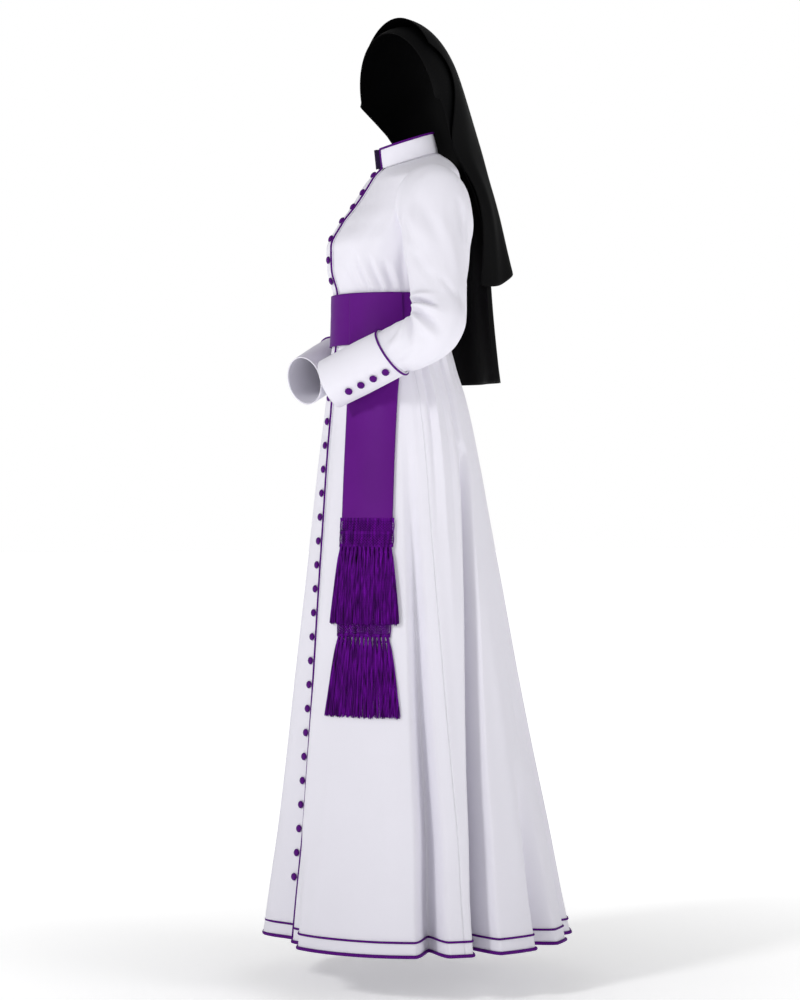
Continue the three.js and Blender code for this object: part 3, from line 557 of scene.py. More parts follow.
def turned_radii(direction, across, bend, radius, squash):
    """Outer and back radius of a ring whose arm has turned by bend from the upper arm's way."""
    turn = Quaternion().slerp(UPPER_ARM.rotation_difference(direction), bend)
    outer = turn @ (Vector((1, 0, 0.24)).normalized() * radius)
    back = turn @ (Vector((0.015, 1, -0.06)).normalized() * radius)
    return squashed(outer, across, squash), squashed(back, across, squash)


def sleeve_sections(side):
    """Centre, outer radius and back radius of each of the sleeve's rings."""
    wrist, direction, across = arm_frame(side)
    origin = Vector((0, AXIS_Y, -NECK_HEIGHT))
    sections = []
    for outer_x, outer_height, inner_x, inner_height, y, half_depth in SLEEVE_HEAD:
        outer = Vector((outer_x, y, outer_height)) + origin
        inner = Vector((inner_x, y, inner_height)) + origin
        centre = (outer + inner) / 2
        sections.append((*centre, *(outer - centre), 0, half_depth, 0))
    for x, y, height, bend, radius, squash in SLEEVE_ARM:
        centre = Vector((x, y, height)) + origin
        outer, back = turned_radii(direction, across, bend, radius, squash)
        sections.append((*centre, *outer, *back))
    under_cuff = CUFF_RADIUS - (WALL + 2 * SEAM) / CUFF_SQUASH
    for distance in (CUFF_LENGTH + CUFF_SLANT + 5, CUFF_LENGTH - CUFF_SLANT - SLEEVE_UNDER_CUFF):
        outer, back = turned_radii(direction, across, 1, under_cuff, CUFF_SQUASH)
        sections.append((*(wrist - direction * distance), *outer, *back))
    return np.array(sections)


def sleeve_curve(side):
    """The sleeve as a function of its length, with that length."""
    sections = sleeve_sections(side)
    steps = np.linalg.norm(np.diff(sections[:, :3], axis=0), axis=1)
    lengths = np.concatenate([[0], np.cumsum(steps)])
    return smooth_curve(lengths, sections), lengths[-1]


def sleeve_points(curve, degrees, along):
    """Points of the left-hand form of a sleeve, by degrees round it and millimetres along it."""
    row = curve(along)
    turn = np.radians(-degrees)
    cosine, sine = np.cos(turn)[..., None], np.sin(turn)[..., None]
    return row[..., :3] + row[..., 3:6] * cosine + row[..., 6:9] * sine


def mirrored(points):
    return points * np.array([-1.0, 1.0, 1.0])


def sleeve_relief(side, degrees, along, length):
    """How far creases and slow waves move a sleeve at each point."""
    if side == "right":
        degrees, along = degrees + 13, along - 5
    total = relief(degrees, along, SLEEVE_CREASES, lambda _: 0.9)
    slow = 0.8 * noise_field(degrees / 40, along / 50, 21) * smoothstep(along, 20, 60)
    return (total + slow) * smoothstep(length - along, 18, 45)


# ---------------------------------------------------------------- the veil's surface
def veil_grid(rows, dip, seed):
    """Points of one tier of the veil, from a table of rows from its top to its foot."""
    table = np.array(rows, float)
    last = len(table) - 1
    curve = smooth_curve(np.arange(last + 1), table)
    station = np.linspace(0, last, VEIL_ROWS)[:, None]
    share = np.linspace(0, 1, VEIL_COLUMNS)[None, :]
    row = curve(station[:, 0])[:, None, :]
    x, y, height, half_width, reach, lean, turn, first, final = np.moveaxis(row, -1, 0)
    angle = np.radians(first + (final - first) * share)
    turn, lean = np.radians(turn), np.radians(lean)
    fall = station / last
    inward = smoothstep(np.minimum(share, 1 - share), 0.0, 0.16)
    wave = VEIL_WAVE_DEPTH * fall**2 * np.sin(2 * math.pi * VEIL_WAVE_COUNT * share) * inward
    wave = wave + 1.8 * fall * noise_field(share * 7, fall * 2.0, seed) * np.sin(math.pi * share)
    foot = np.maximum(0, 4 * fall - 3) ** 2
    z = height - dip * foot * (1.3 * np.cos(angle) ** 2 - 0.3) - NECK_HEIGHT
    wide = (half_width + wave) * np.cos(angle)
    deep = (reach + wave) * np.sin(angle)
    x = x + wide * np.cos(turn) - deep * np.cos(lean) * np.sin(turn)
    y = y + AXIS_Y + wide * np.sin(turn) + deep * np.cos(lean) * np.cos(turn)
    points = stacked(x, y, z + deep * np.sin(lean))
    for _ in range(VEIL_SMOOTHING):
        points[1:-1] = (points[:-2] + 2 * points[1:-1] + points[2:]) / 4
    return points


# ---------------------------------------------------------------- meshes
def new_object(name, mesh):
    piece = bpy.data.objects.new(name, mesh)
    bpy.context.scene.collection.objects.link(piece)
    return piece


def grid_mesh(name, points, wrap=False, flip=False, keep=None):
    """A smooth sheet on a grid of points, with a UV map in metres. keep drops faces."""
    rows, columns = points.shape[:2]
    index = np.arange(rows * columns).reshape(rows, columns)
    left = index if wrap else index[:, :-1]
    right = np.roll(index, -1, axis=1) if wrap else index[:, 1:]
    quads = np.stack([left[:-1], right[:-1], right[1:], left[1:]], axis=-1)
    across = np.linalg.norm(np.diff(points, axis=1), axis=2)
    along = np.linalg.norm(np.diff(points, axis=0), axis=2)
    u = np.concatenate([np.zeros((rows, 1)), np.cumsum(across, axis=1)], axis=1)
    v = np.concatenate([np.zeros((1, columns)), np.cumsum(along, axis=0)], axis=0)
    u_next = u[:, 1:]
    if wrap:
        closing = np.linalg.norm(points[:, 0] - points[:, -1], axis=1)
        u_next = np.concatenate([u[:, 1:], (u[:, -1] + closing)[:, None]], axis=1)
    last = columns if wrap else columns - 1
    v_next = np.roll(v, -1, axis=1) if wrap else v[:, 1:]
    corners_u = np.stack([u[:-1, :last], u_next[:-1], u_next[1:], u[1:, :last]], axis=-1)
    corners_v = np.stack([v[:-1, :last], v_next[:-1], v_next[1:], v[1:, :last]], axis=-1)
    uv = np.stack([corners_u, corners_v], axis=-1).reshape(-1, 4, 2) * MM
    quads = quads.reshape(-1, 4)
    if flip:
        quads, uv = quads[:, ::-1], uv[:, ::-1]
    if keep is not None:
        shown = keep.reshape(-1)[quads].any(axis=1)
        quads, uv = quads[shown], uv[shown]
    used, quads = np.unique(quads, return_inverse=True)
    quads = quads.reshape(-1, 4)
    mesh = bpy.data.meshes.new(name)
    mesh.from_pydata((points.reshape(-1, 3)[used] * MM).tolist(), [], quads.tolist())
    layer = mesh.uv_layers.new(name="cloth")
    layer.data.foreach_set("uv", uv.reshape(-1).astype(np.float32))
    mesh.shade_smooth()
    return mesh


def sheet_piece(name, points, material, thickness, wrap=False, flip=False, keep=None):
    """A sheet of cloth whose outer face is the grid, with its thickness inwards."""
    piece = new_object(name, grid_mesh(name, points, wrap, flip, keep))
    piece.data.materials.append(material)
    wall = piece.modifiers.new("cloth", "SOLIDIFY")
    wall.thickness = thickness * MM
    wall.offset = -1
    return piece


def declare(piece, nodes):
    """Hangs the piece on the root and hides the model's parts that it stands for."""
    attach(piece, "root")
    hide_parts(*nodes)


def declare_sheet(piece, nodes):
    """Does the same as declare, for a sheet."""
    declare(piece, nodes)


def cloth_piece(name, slot, nodes, points, thickness, held, rests_on, wrap=False, **options):
    """A sheet in the finish of its slot, declared as what it stands for."""
    piece = sheet_piece(name, points, finish(slot), thickness, wrap, **options)
    declare_sheet(piece, nodes)


# ---------------------------------------------------------------- geometry node trees
def new_tree(name, inputs):
    """A geometry node tree with named inputs."""
    tree = bpy.data.node_groups.new(name, "GeometryNodeTree")
    tree.interface.new_socket("Geometry", in_out="INPUT", socket_type="NodeSocketGeometry")
    for label, kind in inputs:
        tree.interface.new_socket(label, in_out="INPUT", socket_type=kind)
    tree.interface.new_socket("Geometry", in_out="OUTPUT", socket_type="NodeSocketGeometry")
    return tree


def add_node(tree, kind, links=None, values=None, **options):
    """A node with its options set, its inputs linked from sockets, and other inputs given values."""
    node = tree.nodes.new(kind)
    for key, value in options.items():
        setattr(node, key, value)
    for label, value in (values or {}).items():
        node.inputs[label].default_value = value
    for label, socket in (links or {}).items():
        tree.links.new(socket, node.inputs[label])
    return node


def end_tree(tree, geometry, material):
    """Ends a tree with real, smooth geometry in its material."""
    whole = add_node(tree, "GeometryNodeRealizeInstances", {"Geometry": geometry})
    smooth = add_node(tree, "GeometryNodeSetShadeSmooth", {"Geometry": whole.outputs[0]})
    links = {"Geometry": smooth.outputs[0], "Material": material}
    finished = add_node(tree, "GeometryNodeSetMaterial", links)
    add_node(tree, "NodeGroupOutput", {"Geometry": finished.outputs[0]})


def stored(tree, geometry, name, kind, value):
    """The geometry with an attribute of that name and kind on its points."""
    options = {"data_type": kind, "domain": "POINT"}
    links = {"Geometry": geometry, "Value": value}
    return add_node(tree, "GeometryNodeStoreNamedAttribute", links, {"Name": name}, **options).outputs[0]


def named(tree, name, kind):
    """An attribute that the tree's source mesh carries."""
    node = add_node(tree, "GeometryNodeInputNamedAttribute", None, {"Name": name}, data_type=kind)
    return node.outputs[0]


def cord_tree():
    """Round cords along the edges of a mesh. Its 'share' attribute thins them, and the result
    carries 'along' in metres and 'around' as a direction in the cord's section."""
    tree = new_tree(
        "Cord along edges",
        [("Radius", "NodeSocketFloat"), ("Sides", "NodeSocketInt"), ("Material", "NodeSocketMaterial")],
    )
    given = add_node(tree, "NodeGroupInput").outputs
    curve = add_node(tree, "GeometryNodeMeshToCurve", {"Mesh": given["Geometry"]}).outputs[0]
    length = add_node(tree, "GeometryNodeSplineParameter").outputs["Length"]
    marked = stored(tree, curve, "along", "FLOAT", length)
    links = {"Resolution": given["Sides"], "Radius": given["Radius"]}
    circle = add_node(tree, "GeometryNodeCurvePrimitiveCircle", links).outputs["Curve"]
    place = add_node(tree, "GeometryNodeInputPosition").outputs[0]
    direction = add_node(tree, "ShaderNodeVectorMath", {0: place}, operation="NORMALIZE").outputs[0]
    ring = stored(tree, circle, "around", "FLOAT_VECTOR", direction)
    links = {"Curve": marked, "Profile Curve": ring, "Scale": named(tree, "share", "FLOAT")}
    cord = add_node(tree, "GeometryNodeCurveToMesh", links, {"Fill Caps": True}).outputs[0]
    end_tree(tree, cord, given["Material"])
    return tree


def scatter_tree():
    """A shape on each point of a mesh, its Z along the point's 'facing'. The result carries each
    point's place in its own shape as 'spot'."""
    tree = new_tree(
        "Shape on points",
        [("Shape", "NodeSocketObject"), ("Scale", "NodeSocketFloat"), ("Material", "NodeSocketMaterial")],
    )
    given = add_node(tree, "NodeGroupInput").outputs
    shape = add_node(tree, "GeometryNodeObjectInfo", {"Object": given["Shape"]}).outputs["Geometry"]
    place = add_node(tree, "GeometryNodeInputPosition").outputs[0]
    marked = stored(tree, shape, "spot", "FLOAT_VECTOR", place)
    align = "FunctionNodeAlignRotationToVector"
    upright = add_node(tree, align, {"Vector": named(tree, "facing", "FLOAT_VECTOR")}, axis="Z").outputs[0]
    links = {"Rotation": upright, "Vector": named(tree, "lengthwise", "FLOAT_VECTOR")}
    turned = add_node(tree, align, links, axis="X", pivot_axis="Z").outputs[0]
    links = {"Points": given["Geometry"], "Instance": marked, "Rotation": turned, "Scale": given["Scale"]}
    placed = add_node(tree, "GeometryNodeInstanceOnPoints", links).outputs[0]
    end_tree(tree, placed, given["Material"])
    return tree


def grown(name, slot, nodes, source_mesh, tree, settings):
    """The plain mesh that a tree makes from a source mesh, as a new piece in its slot's finish."""
    source = new_object(name + "_source", source_mesh)
    modifier = source.modifiers.new("grow", "NODES")
    modifier.node_group = tree
    sockets = {item.name: item.identifier for item in tree.interface.items_tree if item.in_out == "INPUT"}
    for label, value in {**settings, "Material": finish(slot)}.items():
        modifier[sockets[label]] = value
    depsgraph = bpy.context.evaluated_depsgraph_get()
    depsgraph.update()
    mesh = bpy.data.meshes.new_from_object(
        source.evaluated_get(depsgraph), preserve_all_data_layers=True, depsgraph=depsgraph
    )
    if not mesh.polygons:
        raise RuntimeError(f"{name}: the tree {tree.name} made no faces")
    bpy.data.objects.remove(source)
    mesh.name = name
    piece = new_object(name, mesh)
    declare(piece, nodes)
    return piece


def path_mesh(name, paths):
    """Polylines as one mesh of edges. A path is (points, closed) or (points, closed, shares)."""
    vertices, edges, shares = [], [], []
    for path in paths:
        points, closed = path[0], path[1]
        start = len(vertices)
        count = len(points)
        vertices.extend((np.asarray(points) * MM).tolist())
        edges.extend((start + i, start + i + 1) for i in range(count - 1))
        if closed:
            edges.append((start + count - 1, start))
        shares.extend(path[2] if len(path) > 2 else [1.0] * count)
    mesh = bpy.data.meshes.new(name)
    mesh.from_pydata(vertices, edges, [])
    mesh.attributes.new("share", "FLOAT", "POINT").data.foreach_set("value", np.array(shares, np.float32))
    return mesh


def points_mesh(name, points, facing):
    """Points that carry the way that the button on each faces and turns."""
    mesh = bpy.data.meshes.new(name)
    mesh.from_pydata((np.asarray(points) * MM).tolist(), [], [])
    for label, value in (("facing", facing), ("lengthwise", np.tile(BUTTON_SPIN, (len(points), 1)))):
        attribute = mesh.attributes.new(label, "FLOAT_VECTOR", "POINT")
        attribute.data.foreach_set("vector", np.asarray(value, np.float32).reshape(-1))
    return mesh


# ---------------------------------------------------------------- finishes
WAVE_SCALE = 0.314159  # the wave texture's scale times its pitch in metres
BUTTON_SPIN = (0.3, 0.2, 1.0)  # the way that each button's own x points, as far as its face lets it


def linear(color):
    return tuple(c / 12.92 if c <= 0.04045 else ((c + 0.055) / 1.055) ** 2.4 for c in color)


def shaded(color, share):
    return tuple(min(1.0, c * share) for c in linear(color[:3])) + (1.0,)


class Finish:
    """A material under construction: a base colour that varies slowly, and a bump."""

    def __init__(self, name, color, roughness, spread=0.06, speck=0.0, scale=9.0):
        self.material = bpy.data.materials.new(name)
        self.material.use_nodes = True
        self.material.diffuse_color = shaded(color, 1)
        self.tree = self.material.node_tree
        self.shader = self.tree.nodes["Principled BSDF"]
        self.shader.inputs["Roughness"].default_value = roughness
        self.place = add_node(self.tree, "ShaderNodeTexCoord").outputs["Object"]
        slow = self.noise(self.place, scale, 4)
        fine = self.noise(self.place, 900, 2)
        both = self.math("MULTIPLY_ADD", fine, speck, slow)
        ramp = add_node(self.tree, "ShaderNodeValToRGB", {"Fac": both})
        ramp.color_ramp.elements[0].position = 0.3
        ramp.color_ramp.elements[0].color = shaded(color, 1 - spread)
        ramp.color_ramp.elements[1].position = 0.7 + speck
        ramp.color_ramp.elements[1].color = shaded(color, 1 + spread)
        self.color = ramp.outputs[0]

    def noise(self, vector, scale, detail):
        values = {"Scale": scale, "Detail": detail}
        return add_node(self.tree, "ShaderNodeTexNoise", {"Vector": vector}, values).outputs["Fac"]

    def stretched(self, x, y, z):
        scaled = add_node(self.tree, "ShaderNodeMapping", {"Vector": self.place}, {"Scale": (x, y, z)})
        return scaled.outputs[0]

    def math(self, operation, first, second=None, third=None):
        node = self.tree.nodes.new("ShaderNodeMath")
        node.operation = operation
        for slot, value in enumerate((first, second, third)):
            if value is None:
                continue
            if isinstance(value, (int, float)):
                node.inputs[slot].default_value = value
            else:
                self.tree.links.new(value, node.inputs[slot])
        return node.outputs[0]

    def cloth_map(self, turn=0.0):
        uv = add_node(self.tree, "ShaderNodeUVMap", uv_map="cloth").outputs[0]
        values = {"Rotation": (0, 0, math.radians(turn))}
        return add_node(self.tree, "ShaderNodeMapping", {"Vector": uv}, values).outputs[0]

    def ribs(self, vector, pitch, distortion=0.0, axis="X"):
        """Ridges that repeat every pitch metres."""
        values = {"Scale": WAVE_SCALE / pitch, "Distortion": distortion, "Detail": 1.0}
        wave = add_node(self.tree, "ShaderNodeTexWave", {"Vector": vector}, values, bands_direction=axis)
        return wave.outputs["Fac"]

    def attribute(self, name, output):
        return add_node(self.tree, "ShaderNodeAttribute", attribute_name=name).outputs[output]

    def cord_twist(self, pitch, strands):
        """Ridges that wind round a cord made by the cord tree."""
        direction = self.attribute("around", "Vector")
        around = add_node(self.tree, "ShaderNodeSeparateXYZ", {"Vector": direction}).outputs
        angle = self.math("ARCTAN2", around["Y"], around["X"])
        along = self.math("MULTIPLY", self.attribute("along", "Fac"), 2 * math.pi / pitch)
        phase = self.math("MULTIPLY_ADD", angle, float(strands), along)
        return self.math("MULTIPLY_ADD", self.math("SINE", phase), 0.5, 0.5)

    def paint_shade_in_hollows(self, height, share):
        """Paints shade into the base colour where height is low, as in the hollows of a weave, a twist or a
        crinkle.
        """
        floor = self.math("MULTIPLY_ADD", height, share, 1 - share)
        grey = add_node(self.tree, "ShaderNodeCombineXYZ", {0: floor, 1: floor, 2: floor}).outputs[0]
        options = {"data_type": "RGBA", "blend_type": "MULTIPLY"}
        mixed = add_node(self.tree, "ShaderNodeMix", {6: self.color, 7: grey}, {0: 1.0}, **options)
        self.color = mixed.outputs[2]

    def bump(self, height, distance, strength=1.0):
        values = {"Distance": distance * MM, "Strength": strength}
        node = add_node(self.tree, "ShaderNodeBump", {"Height": height}, values)
        previous = self.shader.inputs["Normal"].links
        if previous:
            self.tree.links.new(previous[0].from_socket, node.inputs["Normal"])
        self.tree.links.new(node.outputs[0], self.shader.inputs["Normal"])

    def done(self, **sockets):
        self.tree.links.new(self.color, self.shader.inputs["Base Color"])
        for label, value in sockets.items():
            self.shader.inputs[label.replace("_", " ").title().replace("Ior", "IOR")].default_value = value
        return self.material


_finishes = {}


def finish(name):
    """Each finish is made once, when a piece first asks for it."""
    if name not in _finishes:
        _finishes[name] = FINISH_MAKERS[name](bpy.context.scene.cassock_colours)
    return _finishes[name]


def white_twill(colours):
    made = Finish("White twill", colours.white, 0.82, spread=0.018, speck=0.1, scale=5)
    twill = made.ribs(made.cloth_map(45), 0.0007, 0.4)
    thread = made.noise(made.place, 1600, 2)
    made.bump(made.noise(made.place, 60, 3), 0.25, 0.5)
    made.bump(made.math("MULTIPLY_ADD", thread, 0.6, twill), 0.08, 0.7)
    # painted shade: the twill's hollows are made a little darker
    made.paint_shade_in_hollows(twill, 0.03)
    return made.done(sheen_weight=0.08, sheen_roughness=0.45, specular_ior_level=0.2)


def purple_satin(colours):
    made = Finish("Purple satin", colours.purple, 0.5, spread=0.09, speck=0.1, scale=7)
    ribs = made.ribs(made.cloth_map(90), 0.0009, 0.3)
    made.bump(made.noise(made.place, 35, 3), 0.4, 0.5)
    made.bump(ribs, 0.08, 0.6)
    # painted shade: the satin is darker in the hollows between its ribs
    made.paint_shade_in_hollows(ribs, 0.12)
    return made.done(specular_ior_level=0.08)


def purple_piping(colours):
    made = Finish("Purple piping cord", colours.piping, 0.6, spread=0.1, speck=0.15, scale=40)
    twist = made.cord_twist(0.0045, 2)
    made.bump(twist, 0.35, 0.8)
    # painted shade: the cord is darker in the grooves of its twist
    made.paint_shade_in_hollows(twist, 0.25)
    return made.done(specular_ior_level=0.08)


def purple_buttons(colours):
    made = Finish("Purple button silk", colours.button, 0.5, spread=0.12, speck=0.15, scale=60)
    spot = made.attribute("spot", "Vector")
    weave = made.ribs(spot, 0.0011, 0.5)
    cross = made.ribs(spot, 0.0011, 0.5, axis="Y")
    both = made.math("MAXIMUM", weave, cross)
    made.bump(both, 0.18, 0.8)
    # painted shade: the button's cover is darker in the hollows of its weave
    made.paint_shade_in_hollows(both, 0.2)
    return made.done(specular_ior_level=0.08)


def purple_fringe(colours):
    made = Finish("Purple fringe silk", colours.fringe, 0.6, spread=0.12, speck=0.2, scale=90)
    twist = made.cord_twist(0.0028, 1)
    made.bump(twist, 0.2, 0.8)
    # painted shade: each strand is darker in the grooves of its twist
    made.paint_shade_in_hollows(twist, 0.2)
    # painted shade: dark streaks, laid at random down the fringe, for the shaded gaps between its strands
    strands = made.noise(made.stretched(1.0, 1.0, 0.035), 300, 2)
    made.paint_shade_in_hollows(made.math("MULTIPLY_ADD", strands, 3.2, -1.1), 0.75)
    return made.done(specular_ior_level=0.06)


def dark_purple(colours):
    made = Finish("Dark purple facing", colours.facing, 0.6, spread=0.12, speck=0.1, scale=30)
    ribs = made.ribs(made.cloth_map(45), 0.0009, 0.3)
    made.bump(ribs, 0.08, 0.6)
    return made.done(specular_ior_level=0.1)


def black_crepe(colours):
    made = Finish("Black crepe", colours.black, 0.6, spread=0.15, speck=0.2, scale=8)
    crepe = made.noise(made.place, 700, 3)
    made.bump(made.noise(made.place, 45, 3), 0.4, 0.5)
    made.bump(crepe, 0.15, 0.6)
    # painted shade: the crepe is darker in the hollows of its crinkle
    made.paint_shade_in_hollows(crepe, 0.15)
    return made.done(specular_ior_level=0.06)


FINISH_MAKERS = {
    "white_cloth": white_twill,
    "purple_satin": purple_satin,
    "purple_piping": purple_piping,
    "purple_buttons": purple_buttons,
    "purple_fringe": purple_fringe,
    "dark_purple": dark_purple,
    "black_veil": black_crepe,
}


# ---------------------------------------------------------------- settings
def colour_property(name, description, red, green, blue):
    return bpy.props.FloatVectorProperty(
        name=name,
        description=description,
        subtype="COLOR_GAMMA",
        size=3,
        min=0.0,
        max=1.0,
        default=(red / 255, green / 255, blue / 255),
    )


def length_property(name, description, millimetres):
    return bpy.props.FloatProperty(
        name=name,
        description=description,
        default=millimetres * MM,
        min=0.0,
        unit="LENGTH",
        subtype="DISTANCE",
        precision=4,
    )


class CassockColours(bpy.types.PropertyGroup):
    """The set's colours."""

    white: colour_property("White cloth", "Colour of the cassock's cloth", 229, 227, 236)
    purple: colour_property("Fascia", "Colour of the fascia's satin", 93, 19, 124)
    piping: colour_property("Piping", "Colour of the cords on the edges", 88, 14, 122)
    button: colour_property("Buttons", "Colour of the covered buttons", 84, 14, 116)
    fringe: colour_property("Fringe", "Colour of the net and the fringe", 108, 10, 150)
    facing: colour_property("Facing", "Colour of the strip in the collar's opening", 25, 6, 44)
    black: colour_property("Veil", "Colour of the veil's crepe", 8, 8, 9)


class CassockSizes(bpy.types.PropertyGroup):
    """The set's small sizes."""

    piping_radius: length_property("Piping", "Radius of the cord on the front, collar and cuffs", 2.1)
    hem_radius: length_property("Hem piping", "Radius of the cord on the hem's edge", 3.2)
    hem_line_radius: length_property("Hem line", "Radius of the cord above the hem", 2.0)
    button_radius: length_property("Button", "Radius of a covered button", 7.0)
    strand_radius: length_property("Fringe strand", "Radius of a strand of the fringe", 0.85)
    net_radius: length_property("Net cord", "Radius of a cord of the net", 1.2)


# ---------------------------------------------------------------- the cassock
def panel_heights():
    """Heights of the panels' rows, which are closer together above the band."""
    skirt = np.linspace(HEM, BAND_FOOT, SKIRT_ROWS)
    return np.concatenate([skirt, np.linspace(BAND_FOOT, NECK_HEIGHT, BODICE_ROWS)[1:]])


def seam_groove(angle, seam, height):
    """How far a seam draws in the cloth beside it."""
    away = np.abs(wrapped(angle - seam)) * (ring_at(height)[1] * math.pi / 180)
    depth, half_width = SEAM_GROOVE
    return -depth * np.exp(-((away / half_width) ** 2))


def panel_points(name):
    """Points of one body panel, between its seams or its front edge."""
    heights = panel_heights()
    column = heights[:, None]
    share = np.linspace(0, 1, PANEL_COLUMNS)[None, :]
    gap = np.degrees(SEAM_GAP / ring_at(column)[1])
    start, end = {
        "front_right": (-90 + gap, angle_at_x(LAP, column)),
        "front_left": (angle_at_x(-UNDERLAP, column), 90 - gap),
        "back_left": (90 + gap, 180 - gap),
        "back_right": (180 + gap, 270 - gap),
    }[name]
    angle = start + (end - start) * share
    out = sum(seam_groove(angle, seam, column) for seam in (90, 180, 270))
    if name == "front_left":
        x = ring_at(column)[0] * np.sin(np.radians(angle))
        out = out - (WALL + SEAM) * smoothstep(x, *UNDERLAP_STEP)
    return cloth(angle, column, out)


def sleeve_tube(side, rows=90):
    """Points of a whole sleeve, not yet turned to its side, and what they came from."""
    curve, length = sleeve_curve(side)
    along = np.linspace(0, length, rows)[:, None]
    degrees = np.arange(SLEEVE_COLUMNS)[None, :] * (360 / SLEEVE_COLUMNS)
    degrees, along = np.broadcast_arrays(degrees, along)
    return sleeve_points(curve, degrees, along), degrees, along, curve, length


def placed_side(points, side):
    """The points as they are on the left, or turned over to the right side."""
    return points if side == "left" else mirrored(points[:, ::-1])


def tube_tree(side):
    """A whole sleeve in a form that can be searched for its nearest face."""
    points = placed_side(sleeve_tube(side)[0], side)
    rows, columns = points.shape[:2]
    index = np.arange(rows * columns).reshape(rows, columns)
    right = np.roll(index, -1, axis=1)
    quads = np.stack([index[:-1], right[:-1], right[1:], index[1:]], axis=-1).reshape(-1, 4)
    return BVHTree.FromPolygons(points.reshape(-1, 3).tolist(), quads.tolist())


def outside_sleeves(points, trees, depth):
    """Which points lie outside both sleeves, or less than depth inside one."""
    shown = np.ones(points.shape[:2], bool)
    x, least_height = SLEEVES_REACH_IN
    near = (np.abs(points[..., 0]) > x) & (points[..., 2] > least_height - NECK_HEIGHT)
    for row, column in zip(*np.nonzero(near)):
        point = Vector(points[row, column])
        tree = trees["left" if point.x > 0 else "right"]
        place, normal, _, distance = tree.find_nearest(point)
        if normal.dot(point - place) < 0 and distance > depth:
            shown[row, column] = False
    return shown


class CASSOCK_OT_panels(bpy.types.Operator):
    """Makes the cassock's two fronts and two backs, open at the neck, the hem and the armholes"""

    bl_idname = "cassock.panels"
    bl_label = "Body panels"

    def execute(self, context):
        trees = {side: tube_tree(side) for side in ("left", "right")}
        for name in ("front_right", "front_left", "back_left", "back_right"):
            points = panel_points(name)
            keep = outside_sleeves(points, trees, ARMHOLE_TURN_IN)
            cloth_piece(name + "_cloth", "white_cloth", [name], points, WALL, "hung", [], keep=keep)
        return {"FINISHED"}


class CASSOCK_OT_sleeves(bpy.types.Operator):
    """Makes the two sleeves, from the armhole to just inside the cuff"""

    bl_idname = "cassock.sleeves"
    bl_label = "Sleeves"

    def execute(self, context):
        for side in ("left", "right"):
            points = self.points(side)
            name = f"sleeve_{side}"
            cloth_piece(name + "_cloth", "white_cloth", [name], points, WALL, "hung", [], wrap=True)
        return {"FINISHED"}

    def points(self, side):
        tube, degrees, along, curve, length = sleeve_tube(side, rows=SLEEVE_SEARCH_ROWS)
        outside = inside_body(tube) > 0.0
        upper = along[:, :1] < 0.62 * length
        start = np.zeros(tube.shape[1])
        for column in range(tube.shape[1]):
            inside = np.nonzero(~outside[:, column] & upper[:, 0])[0]
            if len(inside):
                start[column] = along[min(inside[-1] + 1, len(along) - 1), 0]
        low = np.maximum(start - 6, 0)
        high = start.copy()
        turn = degrees[0]
        for _ in range(12):
            middle = (low + high) / 2
            out = inside_body(sleeve_points(curve, turn, middle)) > 0.0
            low, high = np.where(out, low, middle), np.where(out, middle, high)
        crossing = np.where(start > 0, high, 0.0)
        first = np.maximum(crossing - SLEEVE_TURN_IN, 0)
        share = np.linspace(0, 1, SLEEVE_ROWS)[:, None]
        along = first[None, :] + (length - first[None, :]) * share
        degrees = np.broadcast_to(turn[None, :], along.shape)
        points = sleeve_points(curve, degrees, along)
        normals = grid_normals(points, wrap=True)
        seam = -1.2 * np.exp(-(((along - crossing[None, :]) / 5) ** 2))
        calm = smoothstep(along - crossing[None, :], 0, 25)
        out = sleeve_relief(side, degrees, along, length) * calm + seam
        return placed_side(points + normals * out[..., None], side)


def forearm_points(side, degrees, from_wrist, radius, slant):
    """Points round the forearm, by degrees, distance from the wrist and radius."""
    wrist, direction, across = arm_frame(side)
    outer, back = turned_radii(direction, across, 1, 1.0, CUFF_SQUASH)
    turn = np.radians(-degrees)
    spoke = np.cos(turn)[..., None] * np.array(outer) + np.sin(turn)[..., None] * np.array(back)
    down = np.array(across.cross(direction))
    low = spoke @ down
    axis = np.array(direction)
    centre = np.array(wrist) - axis * from_wrist[..., None]
    return centre + spoke * radius[..., None] - axis * (slant * low)[..., None]


def cuff_grid(side, from_wrist, out):
    """Points of a cuff at some distances from the wrist, moved out by a distance."""
    degrees = np.arange(CUFF_COLUMNS)[None, :] * (360 / CUFF_COLUMNS)
    degrees, from_wrist = np.broadcast_arrays(degrees, np.asarray(from_wrist)[:, None])
    share = from_wrist / CUFF_LENGTH
    wave = 0.5 * noise_field(degrees / 50, from_wrist / 40, 31) * np.sin(math.pi * share)
    radius = CUFF_RADIUS + wave + 0.9 * np.sin(math.pi * share)
    points = forearm_points(side, degrees, from_wrist, radius, CUFF_SLANT * share)
    points = points + grid_normals(points, wrap=True) * out
    return placed_side(points, side)


class CASSOCK_OT_cuffs(bpy.types.Operator):
    """Makes the deep cuffs over the sleeves' ends"""

    bl_idname = "cassock.cuffs"
    bl_label = "Cuffs"

    def execute(self, context):
        for side in ("left", "right"):
            points = cuff_grid(side, np.linspace(CUFF_LENGTH, 0, CUFF_ROWS), 0)
            name, under = f"cuff_{side}", [f"sleeve_{side}_cloth"]
            cloth_piece(name + "_cloth", "white_cloth", [name], points, WALL, "stretched", under, wrap=True)
        return {"FINISHED"}


def collar_angle(x):
    """The angle at which the collar's foot is x from its middle."""
    return math.degrees(math.asin(x / COLLAR_FOOT))


